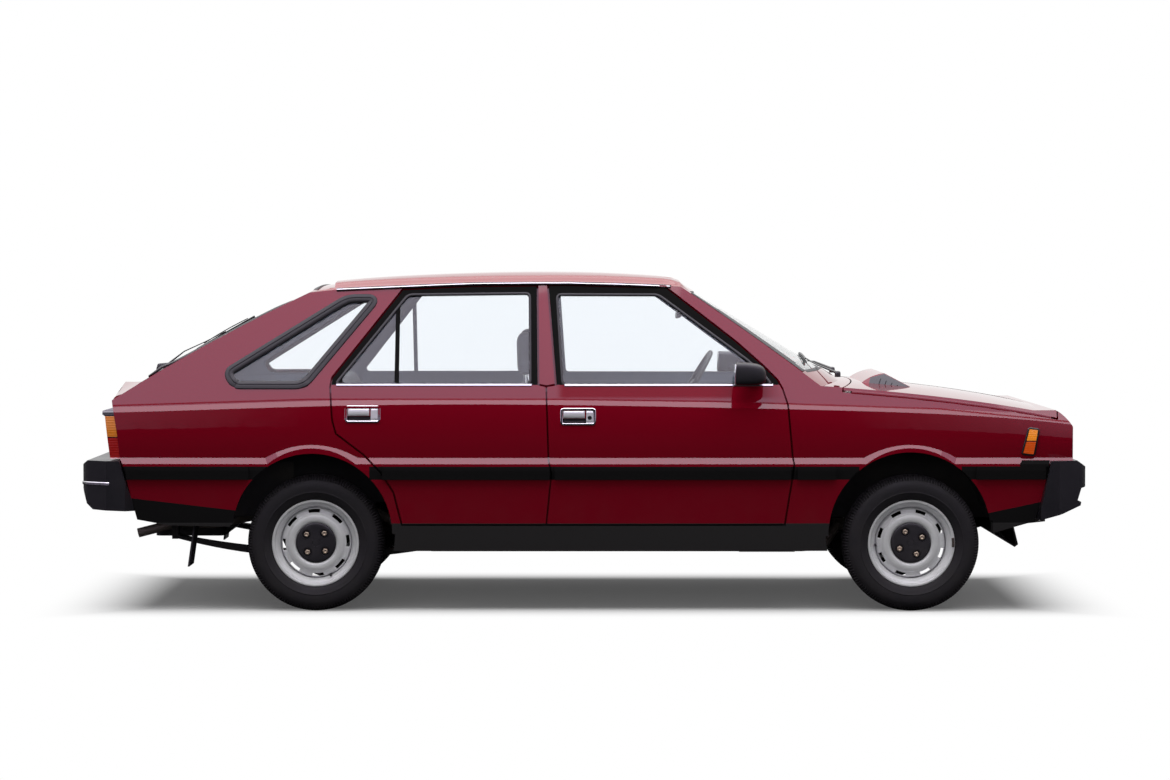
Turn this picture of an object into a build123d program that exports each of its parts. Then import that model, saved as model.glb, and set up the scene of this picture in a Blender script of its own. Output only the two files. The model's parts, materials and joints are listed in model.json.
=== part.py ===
"""Five-door hatchback of the early 1980s, modelled panel by panel, in millimetres.

Frame: +X forward, +Y to the car's left, +Z up, origin on the ground under the middle of the car's length.
The body is cut from one outer form, made of lofted flanks, a bonnet, a cabin and the two ends. The same form,
drawn again a wall thickness further in, gives the hollow inside. Panels are then parted along their shut lines.
"""

from build123d import *
import os
from math import cos, radians, sin, tan

os.makedirs("parts", exist_ok=True)

# ---------------------------------------------------------------- driving dimensions
FRONT_AXLE_X = 1375.5
WHEELBASE = 2509.0
FRONT_TRACK = 1314.0
REAR_TRACK = 1292.0
TYRE_RADIUS = 287.6
TYRE_WIDTH = 175.0
RIM_FLANGE_RADIUS = 182.0
RIM_WIDTH = 138.0

FLANK_WIDTH = 806.0          # half width at the rubbing strip, amidships
FLANK_BOW = 30.0             # how far the flank comes in towards the ends
FLANK_MIDDLE_X = -150.0
BODY_END_X = 2150.0          # stations of the first and last loft section
SILL_BOTTOM_Z = 258.0
SILL_TOP_Z = 375.0
STEP_LOW_Z = 627.0           # the stepped band above the rubbing strip
STEP_HIGH_Z = 652.0
STEP_DEPTH = 16.0
CREASE_INSET = 24.0          # the shoulder crease lies this far inside the widest line
CREASE_ROUND_Z = 22.0
TENT_TOP_Z = 1480.0

# height of the shoulder crease and lean of the flank above it, station by station
CREASE_LINE = [(-2150, 862, 0.40), (-1100, 891, 0.385), (-150, 897, 0.38), (825, 879, 0.40), (1500, 857, 0.44),
               (2150, 798, 0.50)]
# bonnet height at the wing edge and on the centre line
BONNET_LINE = [(500, 968, 982), (1070, 947, 964), (1500, 906, 925), (1840, 858, 874), (2150, 792, 800)]
# roof height at the drip rail and on the centre line
ROOF_LINE = [(-1400, 1306, 1322), (-1050, 1354, 1382), (-500, 1377, 1418), (0, 1381, 1421), (380, 1368, 1397),
             (700, 1340, 1362)]
ROOF_EDGE_Y = 600.0
# cabin in plan at three heights: screen corner, screen centre, tail corner, tail centre, half width at the corners
CABIN_LINE = [(850, 1097, 1292, -2046, -2086, 760), (1120, 741, 862, -1596, -1636, 690),
              (1480, 232, 246, -860, -895, 560)]

SIDE_WALL = 68.0             # door and sill thickness
UPPER_WALL = 42.0            # window frames and pillars
ROOF_WALL = 28.0
SCREEN_WALL = 55.0           # measured along X
FASTBACK_WALL = 88.0         # measured along X, about 40 across the tailgate
BONNET_WALL = 24.0
NOSE_WALL = 40.0
TAIL_WALL = 40.0
PANEL_GAP = 6.0

ARCH_RADIUS_FRONT = 340.0
ARCH_RADIUS_REAR = 335.0
ARCH_Z = 336.0
ARCH_FRONT_X = 1364.0
ARCH_REAR_X = -1142.0
BULGE_RADIUS = 316.0
BULGE_Z = 402.0

REAR_AXLE_X = FRONT_AXLE_X - WHEELBASE
AXLE_Z = TYRE_RADIUS


def save(part, name):
    """Writes one finished piece."""
    part.label = name
    export_step(part, f"parts/{name}.step")


def flank_half_width(x):
    """Half width of the body at the rubbing strip."""
    return FLANK_WIDTH - FLANK_BOW * ((x - FLANK_MIDDLE_X) / BODY_END_X) ** 2


def flank_volume(low_wall=0.0, high_wall=0.0, bottom_z=SILL_BOTTOM_Z, swell=10.0):
    """Both flanks, closed to the centre: sill, door face, shoulder crease and the lean-in above it."""
    swell = 0.0 if low_wall > 12 else swell     # the layers behind the skin are plain
    with BuildPart() as flanks:
        for x, crease_z, lean in CREASE_LINE:
            w = flank_half_width(x) - low_wall
            crease_y = flank_half_width(x) - CREASE_INSET - high_wall
            top_y = crease_y - lean * (TENT_TOP_Z - crease_z)
            step_y = w - STEP_DEPTH
            round_y = w - CREASE_INSET / 2
            join_z = crease_z
            if high_wall or low_wall:
                join_z = crease_z + (crease_y - (w - CREASE_INSET)) / lean
            join_y = crease_y - lean * (join_z - crease_z)
            with BuildSketch(Plane.YZ.offset(x)):
                with BuildLine():
                    Polyline((0, bottom_z), (w - 54, bottom_z), (w - 28, SILL_TOP_Z), (w, 600), (w, STEP_LOW_Z),
                             (step_y, STEP_HIGH_Z))
                    if swell:
                        ThreePointArc((step_y, STEP_HIGH_Z), (step_y + swell, 752),
                                      (round_y, crease_z - CREASE_ROUND_Z))
                    else:
                        Line((step_y, STEP_HIGH_Z), (round_y, crease_z - CREASE_ROUND_Z))
                    Polyline((round_y, crease_z - CREASE_ROUND_Z), (join_y, join_z), (top_y, TENT_TOP_Z),
                             (0, TENT_TOP_Z), (0, bottom_z))
                make_face()
                mirror(about=Plane.YZ)
        loft()
    return flanks.part


def crowned_volume(line, half_width, drop=0.0, bottom_z=0.0):
    """A block whose top is crowned across the car and curved along it."""
    with BuildPart() as block:
        for x, edge_z, centre_z in line:
            edge_z, centre_z = edge_z - drop, centre_z - drop
            # carry the crown on past the stated edge, out to the block's side
            rise = centre_z - edge_z
            side_z = centre_z - rise * (900 / half_width) ** 2
            with BuildSketch(Plane.YZ.offset(x)):
                with BuildLine():
                    Polyline((-900, side_z), (-900, bottom_z), (900, bottom_z), (900, side_z))
                    ThreePointArc((900, side_z), (0, centre_z), (-900, side_z))
                make_face()
        loft()
    return block.part


def cabin_volume(screen_in=0.0, tail_in=0.0, roof_in=0.0):
    """Windscreen, roof and fastback, closed at the sides by plain walls outside the flanks."""
    with BuildPart() as cabin:
        for z, screen_x, screen_mid_x, tail_x, tail_mid_x, half in CABIN_LINE:
            # each bow is carried on past the corner to the block's side
            screen_side = screen_mid_x - (screen_mid_x - screen_x) * (1000 / half) ** 2 * 0.85 - screen_in
            tail_side = tail_mid_x - (tail_mid_x - tail_x) * (1000 / half) ** 2 + tail_in
            with BuildSketch(Plane.XY.offset(z)):
                with BuildLine():
                    ThreePointArc((screen_side, -1000), (screen_mid_x - screen_in, 0), (screen_side, 1000))
                    Line((screen_side, 1000), (tail_side, 1000))
                    ThreePointArc((tail_side, 1000), (tail_mid_x + tail_in, 0), (tail_side, -1000))
                    Line((tail_side, -1000), (screen_side, -1000))
                make_face()
        loft()
        add(crowned_volume(ROOF_LINE_FULL, ROOF_EDGE_Y, roof_in, 700), mode=Mode.INTERSECT)
    return cabin.part


# the roof block has to cover the cabin's whole length, so it is carried on at both ends
ROOF_LINE_FULL = [(-2300, 1240, 1250)] + ROOF_LINE + [(1500, 1260, 1270)]


def ends_volume(nose_in=0.0, tail_in=0.0):
    """Nose and tail faces: bowed in plan, the tail leaning forward as it goes down, the nose rounded over."""
    with BuildPart() as ends:
        for z, tail_x in ((150, -1805), (643, -1943), (1600, -2073)):
            tail_mid_x = tail_x - 36
            with BuildSketch(Plane.XY.offset(z)):
                with BuildLine():
                    ThreePointArc((2044 - nose_in, -812), (2070 - nose_in, 0), (2044 - nose_in, 812))
                    Line((2044 - nose_in, 812), (tail_x + tail_in, 812))
                    ThreePointArc((tail_x + tail_in, 812), (tail_mid_x + tail_in, 0), (tail_x + tail_in, -812))
                    Line((tail_x + tail_in, -812), (2044 - nose_in, -812))
                make_face()
                fillet(vertices(), 60)
        loft(ruled=True)
        with BuildSketch(Plane.XZ) as side_view:
            with BuildLine():
                Polyline((1860, 1700), (1860, 876))
                ThreePointArc((1860, 876), (2022 - nose_in * 0.7, 815 - nose_in * 0.7), (2068 - nose_in, 725))
                Polyline((2068 - nose_in, 725), (2068 - nose_in, 636), (1962 - nose_in, 630), (1890 - nose_in, 384),
                         (1690, 326), (1690, 150), (-1465, 150), (-1473, 362), (-1743, 367), (-1890, 394),
                         (-2150, 420), (-2300, 1700), (1860, 1700))
            make_face()
        extrude(amount=1000, both=True, mode=Mode.INTERSECT)
    return ends.part


def body_form(low_wall=0.0, high_wall=0.0, roof=0.0, screen=0.0, fastback=0.0, bonnet=0.0, nose=0.0, tail=0.0,
              bottom_z=SILL_BOTTOM_Z):
    """The whole outer form of the body, or the same form with each wall moved in."""
    with BuildPart() as form:
        with Locations((0, 0, 0)):
            Box(4600, 2000, 850, align=(Align.CENTER, Align.CENTER, Align.MIN))
        add(crowned_volume(BONNET_LINE, 730, bonnet))
        add(cabin_volume(screen, fastback, roof))
        add(flank_volume(low_wall, high_wall, bottom_z), mode=Mode.INTERSECT)
        add(ends_volume(nose, tail), mode=Mode.INTERSECT)
    return form.part



# ---------------------------------------------------------------- shut lines, in side view unless said otherwise
FRONT_DOOR = [(836, 374), (864, 560), (873, 624), (866, 667), (847, 873), (826, 940), (806, 976), (747, 1035),
              (638, 1132), (346, 1359), (-60, 1370), (-151, 1370), (-116, 955), (-157, 948), (-147, 640),
              (-135, 585), (-157, 374)]
REAR_DOOR = [(-164, 374), (-142, 585), (-154, 640), (-164, 948), (-197, 955), (-203, 1368), (-478, 1366),
             (-768, 1352), (-1056, 985), (-1062, 948), (-1051, 810), (-1036, 756), (-926, 672), (-850, 596),
             (-796, 509), (-763, 374)]
FRONT_WINDOW = [(-88, 962), (-112, 1330), (310, 1329), (676, 1061), (742, 1005), (776, 962)]
REAR_WINDOW = [(-1035, 964), (-744, 1329), (-236, 1335), (-232, 964)]
DIVIDER = (-797, -779)        # upright bar in the rear door's window
QUARTER_WINDOW = [(-1498, 1008), (-1467, 958), (-1178, 958), (-884, 1316), (-1002, 1316)]
DOOR_GAP = 8.0               # left open round each door
DOOR_SKIN_LOW = 26.0         # depth of the outer layer of the doors, below and above the waist
DOOR_SKIN_HIGH = 14.0
JAMB_STEP = 7.0              # clearance behind the outer layer
DOOR_LAP = 22.0              # the inner box of a door is this much smaller all round
GLASS_DEPTH = 8.5
GLASS_THICKNESS = 4.0
GLASS_POCKET = 9.0           # how far the panes run into their frames

BONNET_REAR_X = 1017.0
BONNET_REAR_BOW = 155.0
BONNET_FRONT_X = 1992.0
BONNET_SKIN = 12.0
BONNET_BOX_HALF = 640.0
TAILGATE_TOP_X = -1066.0
TAILGATE_BOTTOM_Z = 862.0
TAILGATE_PLAN = [(-1066, 560), (-1300, 606), (-1620, 664), (-1960, 724), (-2200, 730)]
WING_JOIN_X = 884.0          # front wing meets the screen pillar and sill here
NOSE_JOIN_X = 1967.0
ROOF_JOIN_Y = 588.0


def side_prism(points, grow=0.0, corner=0.0, y_low=0.0, y_high=1000.0):
    """A side-view outline carried across the left half of the car."""
    with BuildPart() as prism:
        with BuildSketch(Plane.XZ.offset(-y_low)) as outline:
            with BuildLine():
                Polyline(*points, close=True)
            make_face()
            if corner:
                fillet(outline.vertices(), corner)
            if grow:
                offset(amount=grow, kind=Kind.INTERSECTION)
        extrude(amount=-(y_high - y_low))
    return prism.part


def block(x, y, z):
    """A plain box between two limits on each axis."""
    with BuildPart() as cut:
        with Locations(((x[0] + x[1]) / 2, (y[0] + y[1]) / 2, (z[0] + z[1]) / 2)):
            Box(x[1] - x[0], y[1] - y[0], z[1] - z[0])
    return cut.part


def across(x, z, radius, y_low, y_high):
    """A round bar or bore lying across the car."""
    with BuildPart() as bar:
        with BuildSketch(Plane.XZ.offset(-y_low)):
            with Locations((x, z)):
                Circle(radius)
        extrude(amount=-(y_high - y_low))
    return bar.part


def arch_bulge(x):
    """The stepped band lifts over each wheel arch as a round eyebrow."""
    w = flank_half_width(x)
    slope = -2 * FLANK_BOW * (x - FLANK_MIDDLE_X) / BODY_END_X ** 2
    face = Plane(origin=(x, w, BULGE_Z), x_dir=(1, slope, 0), z_dir=(-slope, 1, 0))
    with BuildPart() as bulge:
        with BuildSketch(face.offset(-120)):
            Circle(BULGE_RADIUS)
        extrude(amount=120 - STEP_DEPTH)
        with BuildSketch(face.offset(-STEP_DEPTH)):
            Circle(BULGE_RADIUS)
        with BuildSketch(face):
            Circle(BULGE_RADIUS - (STEP_HIGH_Z - STEP_LOW_Z))
        loft(ruled=True)
        add(block((x - 400, x + 400), (500, 1000), (STEP_LOW_Z, 1000)), mode=Mode.INTERSECT)
    return bulge.part


def wheel_well(x, arch_radius, inner_y):
    """The room for a wheel, with a narrower mouth where the panel's edge is turned in."""
    with BuildPart() as well:
        add(across(x, ARCH_Z, arch_radius, inner_y, 1000))
        add(across(x, ARCH_Z, arch_radius + 12, inner_y, flank_half_width(x) - 34))
        add(block((x - arch_radius, x + arch_radius), (inner_y, 1000), (100, ARCH_Z)))
    return well.part


FRONT_WELL_INNER_Y = 402.0
REAR_WELL_INNER_Y = 512.0
left_half = block((-2400, 2400), (0, 1000), (0, 1600))
wells = wheel_well(ARCH_FRONT_X, ARCH_RADIUS_FRONT, FRONT_WELL_INNER_Y) + wheel_well(
    ARCH_REAR_X, ARCH_RADIUS_REAR, REAR_WELL_INNER_Y)
outer_all = body_form()
outer_left = outer_all & left_half
outer_left = outer_left + arch_bulge(ARCH_FRONT_X) + arch_bulge(ARCH_REAR_X) - wells
cavity = body_form(SIDE_WALL, UPPER_WALL, ROOF_WALL, SCREEN_WALL, FASTBACK_WALL, BONNET_WALL, NOSE_WALL,
                   TAIL_WALL, 180)
wall_left = outer_left - cavity

skin_behind = flank_volume(DOOR_SKIN_LOW, DOOR_SKIN_HIGH, 180)
jamb_front = flank_volume(DOOR_SKIN_LOW + JAMB_STEP, DOOR_SKIN_HIGH + JAMB_STEP, 180)
inner_face = flank_volume(SIDE_WALL, UPPER_WALL, 180)
glass_out = flank_volume(GLASS_DEPTH, GLASS_DEPTH, 180)
glass_in = flank_volume(GLASS_DEPTH + GLASS_THICKNESS, GLASS_DEPTH + GLASS_THICKNESS, 180)
bar_out = flank_volume(3, 3, 180)
bar_in = flank_volume(DOOR_SKIN_HIGH, DOOR_SKIN_HIGH, 180, 0)


def door(outline, window, bar=None):
    """A door and its pane: outer layer, inner box, window opening and the pocket that holds the glass.
    A bar, given by its two ends along the car, divides the opening."""
    with BuildPart() as leaf:
        add(wall_left)
        add(side_prism(outline), mode=Mode.INTERSECT)
        add(skin_behind & (side_prism(outline, 5) - side_prism(outline, -DOOR_LAP)), mode=Mode.SUBTRACT)
        opening = side_prism(window, corner=16)
        if bar:
            opening = opening - (block(bar, (0, 1000), (900, 1400)) & (bar_out - bar_in))
        add(opening, mode=Mode.SUBTRACT)
        add(side_prism(window, GLASS_POCKET, 16) & (glass_out - glass_in), mode=Mode.SUBTRACT)
    with BuildPart() as pane:
        add(side_prism(window, GLASS_POCKET, 16))
        add(glass_out, mode=Mode.INTERSECT)
        add(glass_in, mode=Mode.SUBTRACT)
    return leaf.part, pane.part


door_front_left, glass_front_left = door(FRONT_DOOR, FRONT_WINDOW)
door_rear_left, glass_rear_left = door(REAR_DOOR, REAR_WINDOW, DIVIDER)

opening_outer = side_prism(FRONT_DOOR, DOOR_GAP) + side_prism(REAR_DOOR, DOOR_GAP)
opening_inner = side_prism(FRONT_DOOR, DOOR_GAP - DOOR_LAP) + side_prism(REAR_DOOR, DOOR_GAP - DOOR_LAP)
body_left = wall_left - (opening_outer - jamb_front) - opening_inner


def plan_prism(points, z_low, z_high, grow=0.0, corner=0.0):
    """A symmetric outline in plan, given for the left side and mirrored, carried upward."""
    with BuildPart() as prism:
        with BuildSketch(Plane.XY.offset(z_low)) as outline:
            with BuildLine():
                Polyline(*points, *[(x, -y) for x, y in reversed(points)], close=True)
            make_face()
            if corner:
                fillet(outline.vertices(), corner)
            if grow:
                offset(amount=grow, kind=Kind.INTERSECTION)
        extrude(amount=z_high - z_low)
    return prism.part


def bonnet_plan(grow=0.0, half=1000.0):
    """The bonnet seen from above: rear edge bowed round the foot of the windscreen."""
    rear, bow, front = BONNET_REAR_X - grow, BONNET_REAR_BOW, BONNET_FRONT_X + grow
    with BuildPart() as prism:
        with BuildSketch(Plane.XY.offset(600)):
            with BuildLine():
                ThreePointArc((rear, -half), (rear + bow, 0), (rear, half))
                Line((rear, half), (front - 22, half))
                ThreePointArc((front - 22, half), (front, 0), (front - 22, -half))
                Line((front - 22, -half), (rear, -half))
            make_face()
        extrude(amount=600)
    return prism.part


bonnet_under = crowned_volume(BONNET_LINE, 730, BONNET_SKIN)
bonnet_box_under = crowned_volume(BONNET_LINE, 730, BONNET_WALL + 8)
wing_top = crowned_volume(BONNET_LINE, 730, BONNET_SKIN + DOOR_GAP)
box_zone = block((BONNET_REAR_X + 180, BONNET_FRONT_X - 40), (-BONNET_BOX_HALF, BONNET_BOX_HALF), (600, 1200))
bonnet = (outer_all & bonnet_plan()) - bonnet_box_under - (bonnet_under - box_zone)
body_left = body_left - (bonnet_plan(PANEL_GAP) - wing_top)
body_left = body_left - block((BONNET_REAR_X + 165, BONNET_FRONT_X - 25), (-1, BONNET_BOX_HALF + 20), (760, 1200))

tail_prism = plan_prism(TAILGATE_PLAN, TAILGATE_BOTTOM_Z, 1600)
tail_opening = plan_prism(TAILGATE_PLAN, TAILGATE_BOTTOM_Z - PANEL_GAP, 1600, PANEL_GAP)
tail_box = plan_prism(TAILGATE_PLAN, TAILGATE_BOTTOM_Z, 1600, -26)
tail_box_opening = plan_prism(TAILGATE_PLAN, TAILGATE_BOTTOM_Z - PANEL_GAP, 1600, -26 + PANEL_GAP)
lid_under = cabin_volume(0, 34, 15) & ends_volume(0, 14)
lid_jamb = cabin_volume(0, 46, 21) & ends_volume(0, 20)
tailgate_left = (wall_left & tail_prism) - (lid_under - tail_box)
REAR_GLASS_PLAN = [(-1150, 505), (-1840, 630)]
rear_glass_open = plan_prism(REAR_GLASS_PLAN, 900, 1500, 0, 40)
rear_glass_pocket = plan_prism(REAR_GLASS_PLAN, 900, 1500, GLASS_POCKET, 40)
rear_glass = rear_glass_pocket & (cabin_volume(0, 18, 4) - cabin_volume(0, 30, 4))
tailgate_left = tailgate_left - rear_glass_open - rear_glass
# a low lip stands up across the tailgate's rear edge and dies away at its ends
with BuildPart() as lip:
    for side in (1, -1):
        with BuildSketch(Plane.XZ):
            Polygon((-1925, 905), (-1961, 941), (-2036, 942), (-2044, 930), (-2012, 866), (-1985, 866), align=None)
        with BuildSketch(Plane.XZ.offset(side * 650)):
            Polygon((-1885, 905), (-1921, 926), (-1978, 906), (-1990, 896), (-1974, 866), (-1950, 866), align=None)
        loft(ruled=True)
tailgate_left = tailgate_left + (lip.part & left_half & tail_prism)
tailgate = tailgate_left + mirror(tailgate_left, about=Plane.XZ)
body_left = body_left - (tail_opening - lid_jamb) - tail_box_opening

# windscreen, seen from the front
with BuildPart() as screen_open:
    with BuildSketch(Plane.YZ.offset(100)):
        Polygon((-662, 1006), (662, 1006), (548, 1346), (-548, 1346), align=None)
    extrude(amount=1200)
with BuildPart() as screen_pocket:
    with BuildSketch(Plane.YZ.offset(100)):
        Polygon((-662, 1006), (662, 1006), (548, 1346), (-548, 1346), align=None)
        offset(amount=GLASS_POCKET, kind=Kind.INTERSECTION)
    extrude(amount=1200)
windscreen = screen_pocket.part & (cabin_volume(14, 0, 2) - cabin_volume(24, 0, 2))
body_left = body_left - screen_open.part - windscreen
quarter_pane = side_prism(QUARTER_WINDOW, GLASS_POCKET, 24) & (glass_out - glass_in)
body_left = body_left - side_prism(QUARTER_WINDOW, 0, 24) - quarter_pane

roof_zone = block((-1400, 470), (-1, ROOF_JOIN_Y), (1250, 1600))
nose_zone = block((NOSE_JOIN_X, 2400), (-1, 1000), (0, 1600))
wing_zone = block((WING_JOIN_X, NOSE_JOIN_X), (700, 1000), (0, 1600)) + block(
    (WING_JOIN_X, NOSE_JOIN_X), (-1, 1000), (0, 880))
cowl_zone = block((WING_JOIN_X, NOSE_JOIN_X), (-1, 700), (880, 1600)) + block(
    (700, WING_JOIN_X), (-1, 660), (880, 1030))
rear_zone = block((-2400, -1860), (-1, 742), (0, 1600))


def biggest(part):
    """Leaves out crumbs that a cut has left behind."""
    return part.solids().sort_by(SortBy.VOLUME)[-1]


def both_sides(half_part):
    """A left half made whole across the centre line."""
    return half_part + mirror(half_part, about=Plane.XZ)


side_frame_left = biggest(body_left - roof_zone - nose_zone - wing_zone - cowl_zone - rear_zone)
front_wing_left = biggest(body_left & wing_zone)
roof_panel = both_sides(body_left & roof_zone)
nose_left = body_left & nose_zone
cowl_panel = both_sides(body_left & cowl_zone)
rear_panel = both_sides(body_left & rear_zone)

# ---------------------------------------------------------------- rubbing strips on doors, wings and quarters
STRIP_THICKNESS = 17.0
strip_outer = flank_volume(-STRIP_THICKNESS, 0, 180)
strip_layer = (strip_outer & block((-2000, 1960), (600, 900), (562, 616))) - flank_volume(-0.0, 0, 180)


def strip(x_front, x_rear):
    """One length of rubbing strip."""
    return strip_layer & block((x_rear, x_front), (500, 900), (500, 700))


door_front_left = door_front_left + strip(863, -125)
door_rear_left = door_rear_left + strip(-146, -846)
side_frame_left = side_frame_left + strip(-1405, -1918)
front_wing_left = front_wing_left + strip(1052, 890) + strip(1930, 1640)
end_cap = side_prism([(1823, 616), (1831, 642), (1947, 642), (1942, 616)])
front_wing_left = front_wing_left + ((end_cap & strip_outer) - flank_volume(0, 0, 180))

# ---------------------------------------------------------------- latches, handles and rests for lids
STRIKER_RADIUS = 6.0
STRIKER_LENGTH = 24.0
SEAT_GAP = 0.3               # between pieces that bear on each other and move apart


def striker_and_notch(pillar_x, y, z):
    """A pin standing forward off the pillar, and the notch in the door's edge that closes round it."""
    with BuildPart() as pin:
        with BuildSketch(Plane.YZ.offset(pillar_x - 2)):
            with Locations((y, z)):
                Circle(STRIKER_RADIUS)
        extrude(amount=STRIKER_LENGTH + 2)
    reach = STRIKER_RADIUS + SEAT_GAP
    return pin.part, block((pillar_x - 4, pillar_x + STRIKER_LENGTH + 4), (y - 60, y + reach), (z - reach, z + reach))


for pillar_x, striker_y, striker_z, rear in ((-135.5, 755, 700, False), (-1034.5, 750, 800, True)):
    pin, notch = striker_and_notch(pillar_x, striker_y, striker_z)
    side_frame_left = side_frame_left + pin
    if rear:
        door_rear_left = door_rear_left - notch
    else:
        door_front_left = door_front_left - notch

handle_rim = flank_volume(-3, -3, 180)
handle_floor = flank_volume(15, 15, 180)
paddle_out = flank_volume(2, 2, 180)
paddle_in = flank_volume(9, 9, 180)


def handle(leaf, x, z):
    """Door handle: raised frame, pocket behind it and a flap hinged along its top."""
    zone = block((x - 80, x + 80), (700, 900), (z - 45, z + 45))
    outline = [(x - 73, z - 35), (x + 73, z - 35), (x + 73, z + 35), (x - 73, z + 35)]
    rim = side_prism(outline, 0, 7) & zone & handle_rim
    pocket = side_prism(outline, -7, 5) & zone
    flap = side_prism([(x - 66, z - 8), (x + 40, z - 8), (x + 40, z + 28), (x - 66, z + 28)]) & zone
    return leaf + (rim - flank_volume(0, 0, 180)) - (pocket - handle_floor) + ((flap & paddle_out) - paddle_in) + (
        block((x - 60, x + 34), (700, 900), (z + 20, z + 28)) & paddle_out - handle_floor)


door_front_left = handle(door_front_left, -27, 825)
door_rear_left = handle(door_rear_left, -928, 835)
for side in (1, -1):
    rear_panel = rear_panel + block((-1985, -1967), (side * 520 - 9, side * 520 + 9),
                                    (846, TAILGATE_BOTTOM_Z - SEAT_GAP))

# ---------------------------------------------------------------- bonnet scoop
SCOOP_TOP = (1300.0, 990.0)
SCOOP_FRONT = (1408.0, 933.0)
SCOOP_HALF = 320.0
with BuildPart() as scoop:
    with BuildSketch(Plane.XZ):
        with BuildLine():
            Polyline(SCOOP_TOP, SCOOP_FRONT, (1408, 905), (1200, 905), (1200, 950))
            ThreePointArc((1200, 950), (1246, 977), SCOOP_TOP)
        make_face()
    extrude(amount=SCOOP_HALF + 30, both=True)
    with BuildSketch(Plane.YZ.offset(1190)):
        Polygon((-SCOOP_HALF - 30, 900), (SCOOP_HALF + 30, 900), (SCOOP_HALF + 12, 935), (SCOOP_HALF - 22, 992),
                (-SCOOP_HALF + 22, 992), (-SCOOP_HALF - 12, 935), align=None)
    extrude(amount=260, mode=Mode.INTERSECT)
    slope = (SCOOP_FRONT[1] - SCOOP_TOP[1]) / (SCOOP_FRONT[0] - SCOOP_TOP[0])
    for step in range(5):
        x = SCOOP_TOP[0] + 16 + step * 17
        top_z = SCOOP_TOP[1] + (x - SCOOP_TOP[0]) * slope
        add(block((x - 5, x + 5), (-SCOOP_HALF + 40, SCOOP_HALF - 40), (top_z - 16, 1100)), mode=Mode.SUBTRACT)
    add(bonnet_box_under, mode=Mode.SUBTRACT)
bonnet = bonnet + scoop.part

# ---------------------------------------------------------------- floor, tunnel and rear wheel arches
FLOOR_BOTTOM_Z = 262.0
FLOOR_THICKNESS = 24.0
BULKHEAD_X = 985.0


def tunnel(wall):
    """The arch over the gearbox and propeller shaft, narrowing rearward."""
    with BuildPart() as arch:
        for x, half, top in ((BULKHEAD_X + 30, 162, 500), (-620, 100, 414)):
            with BuildSketch(Plane.YZ.offset(x)):
                half_in, top_in = half - wall, top - wall
                Polygon((-half_in, 200), (half_in, 200), (half_in * 0.82, top_in - 60), (half_in * 0.5, top_in),
                        (-half_in * 0.5, top_in), (-half_in * 0.82, top_in - 60), align=None)
        loft(ruled=True)
    return arch.part


with BuildPart() as floor_pan:
    with BuildSketch(Plane.XZ):
        Polygon((-1930, 404), (-1512, 404), (-1500, 446), (-660, 446), (-622, 420), (-582, 262), (BULKHEAD_X, 262),
                (BULKHEAD_X, 286), (-562, 286), (-603, 434), (-650, 470), (-1520, 470), (-1532, 428), (-1930, 428),
                align=None)
    extrude(amount=760, both=True)
    add(tunnel(0) & block((-600, BULKHEAD_X), (-400, 400), (FLOOR_BOTTOM_Z, 600)))
    add(tunnel(14), mode=Mode.SUBTRACT)
    with BuildPart(mode=Mode.PRIVATE) as liner:
        add(across(ARCH_REAR_X, ARCH_Z, ARCH_RADIUS_REAR + 20, REAR_WELL_INNER_Y - 8, 760))
        add(block((-1700, -600), (400, 800), (100, 446)), mode=Mode.SUBTRACT)
    add(liner.part)
    add(mirror(liner.part, about=Plane.XZ))
    rear_well = across(ARCH_REAR_X, ARCH_Z, ARCH_RADIUS_REAR + 12, REAR_WELL_INNER_Y, 1000)
    rear_well = rear_well + block((ARCH_REAR_X - ARCH_RADIUS_REAR - 12, ARCH_REAR_X + ARCH_RADIUS_REAR + 12),
                                  (REAR_WELL_INNER_Y, 1000), (100, ARCH_Z))
    add(rear_well, mode=Mode.SUBTRACT)
    add(mirror(rear_well, about=Plane.XZ), mode=Mode.SUBTRACT)
    add(cavity, mode=Mode.INTERSECT)

with BuildPart() as engine_bay:
    add(block((BULKHEAD_X, BULKHEAD_X + 18), (-760, 760), (FLOOR_BOTTOM_Z, 1000)))
    for side in (1, -1):
        add(block((BULKHEAD_X + 18, 1958), sorted((side * 338, side * 394)), (372, 440)))
    add(tunnel(0), mode=Mode.SUBTRACT)
    add(block((1900, 1926), (-394, 394), (372, 700)))
    add(block((1890, 1940), (-330, 330), (430, 660)), mode=Mode.SUBTRACT)
    add(block((1900, 1926), (-700, 700), (700, 790)))
    for side in (1, -1):
        add(block((1902, 1924), (side * 520 - 11, side * 520 + 11), (780, 880)))
    add(crowned_volume(BONNET_LINE, 730, BONNET_WALL + 8 + SEAT_GAP), mode=Mode.INTERSECT)
    with BuildPart(mode=Mode.PRIVATE) as front_liner:
        add(across(ARCH_FRONT_X, ARCH_Z, ARCH_RADIUS_FRONT + 20, FRONT_WELL_INNER_Y - 8, 760))
        add(block((900, 1800), (300, 800), (100, 430)), mode=Mode.SUBTRACT)
    add(front_liner.part)
    add(mirror(front_liner.part, about=Plane.XZ))
    front_well = across(ARCH_FRONT_X, ARCH_Z, ARCH_RADIUS_FRONT + 12, FRONT_WELL_INNER_Y, 1000)
    add(front_well, mode=Mode.SUBTRACT)
    add(mirror(front_well, about=Plane.XZ), mode=Mode.SUBTRACT)
    add(cavity, mode=Mode.INTERSECT)

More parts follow.
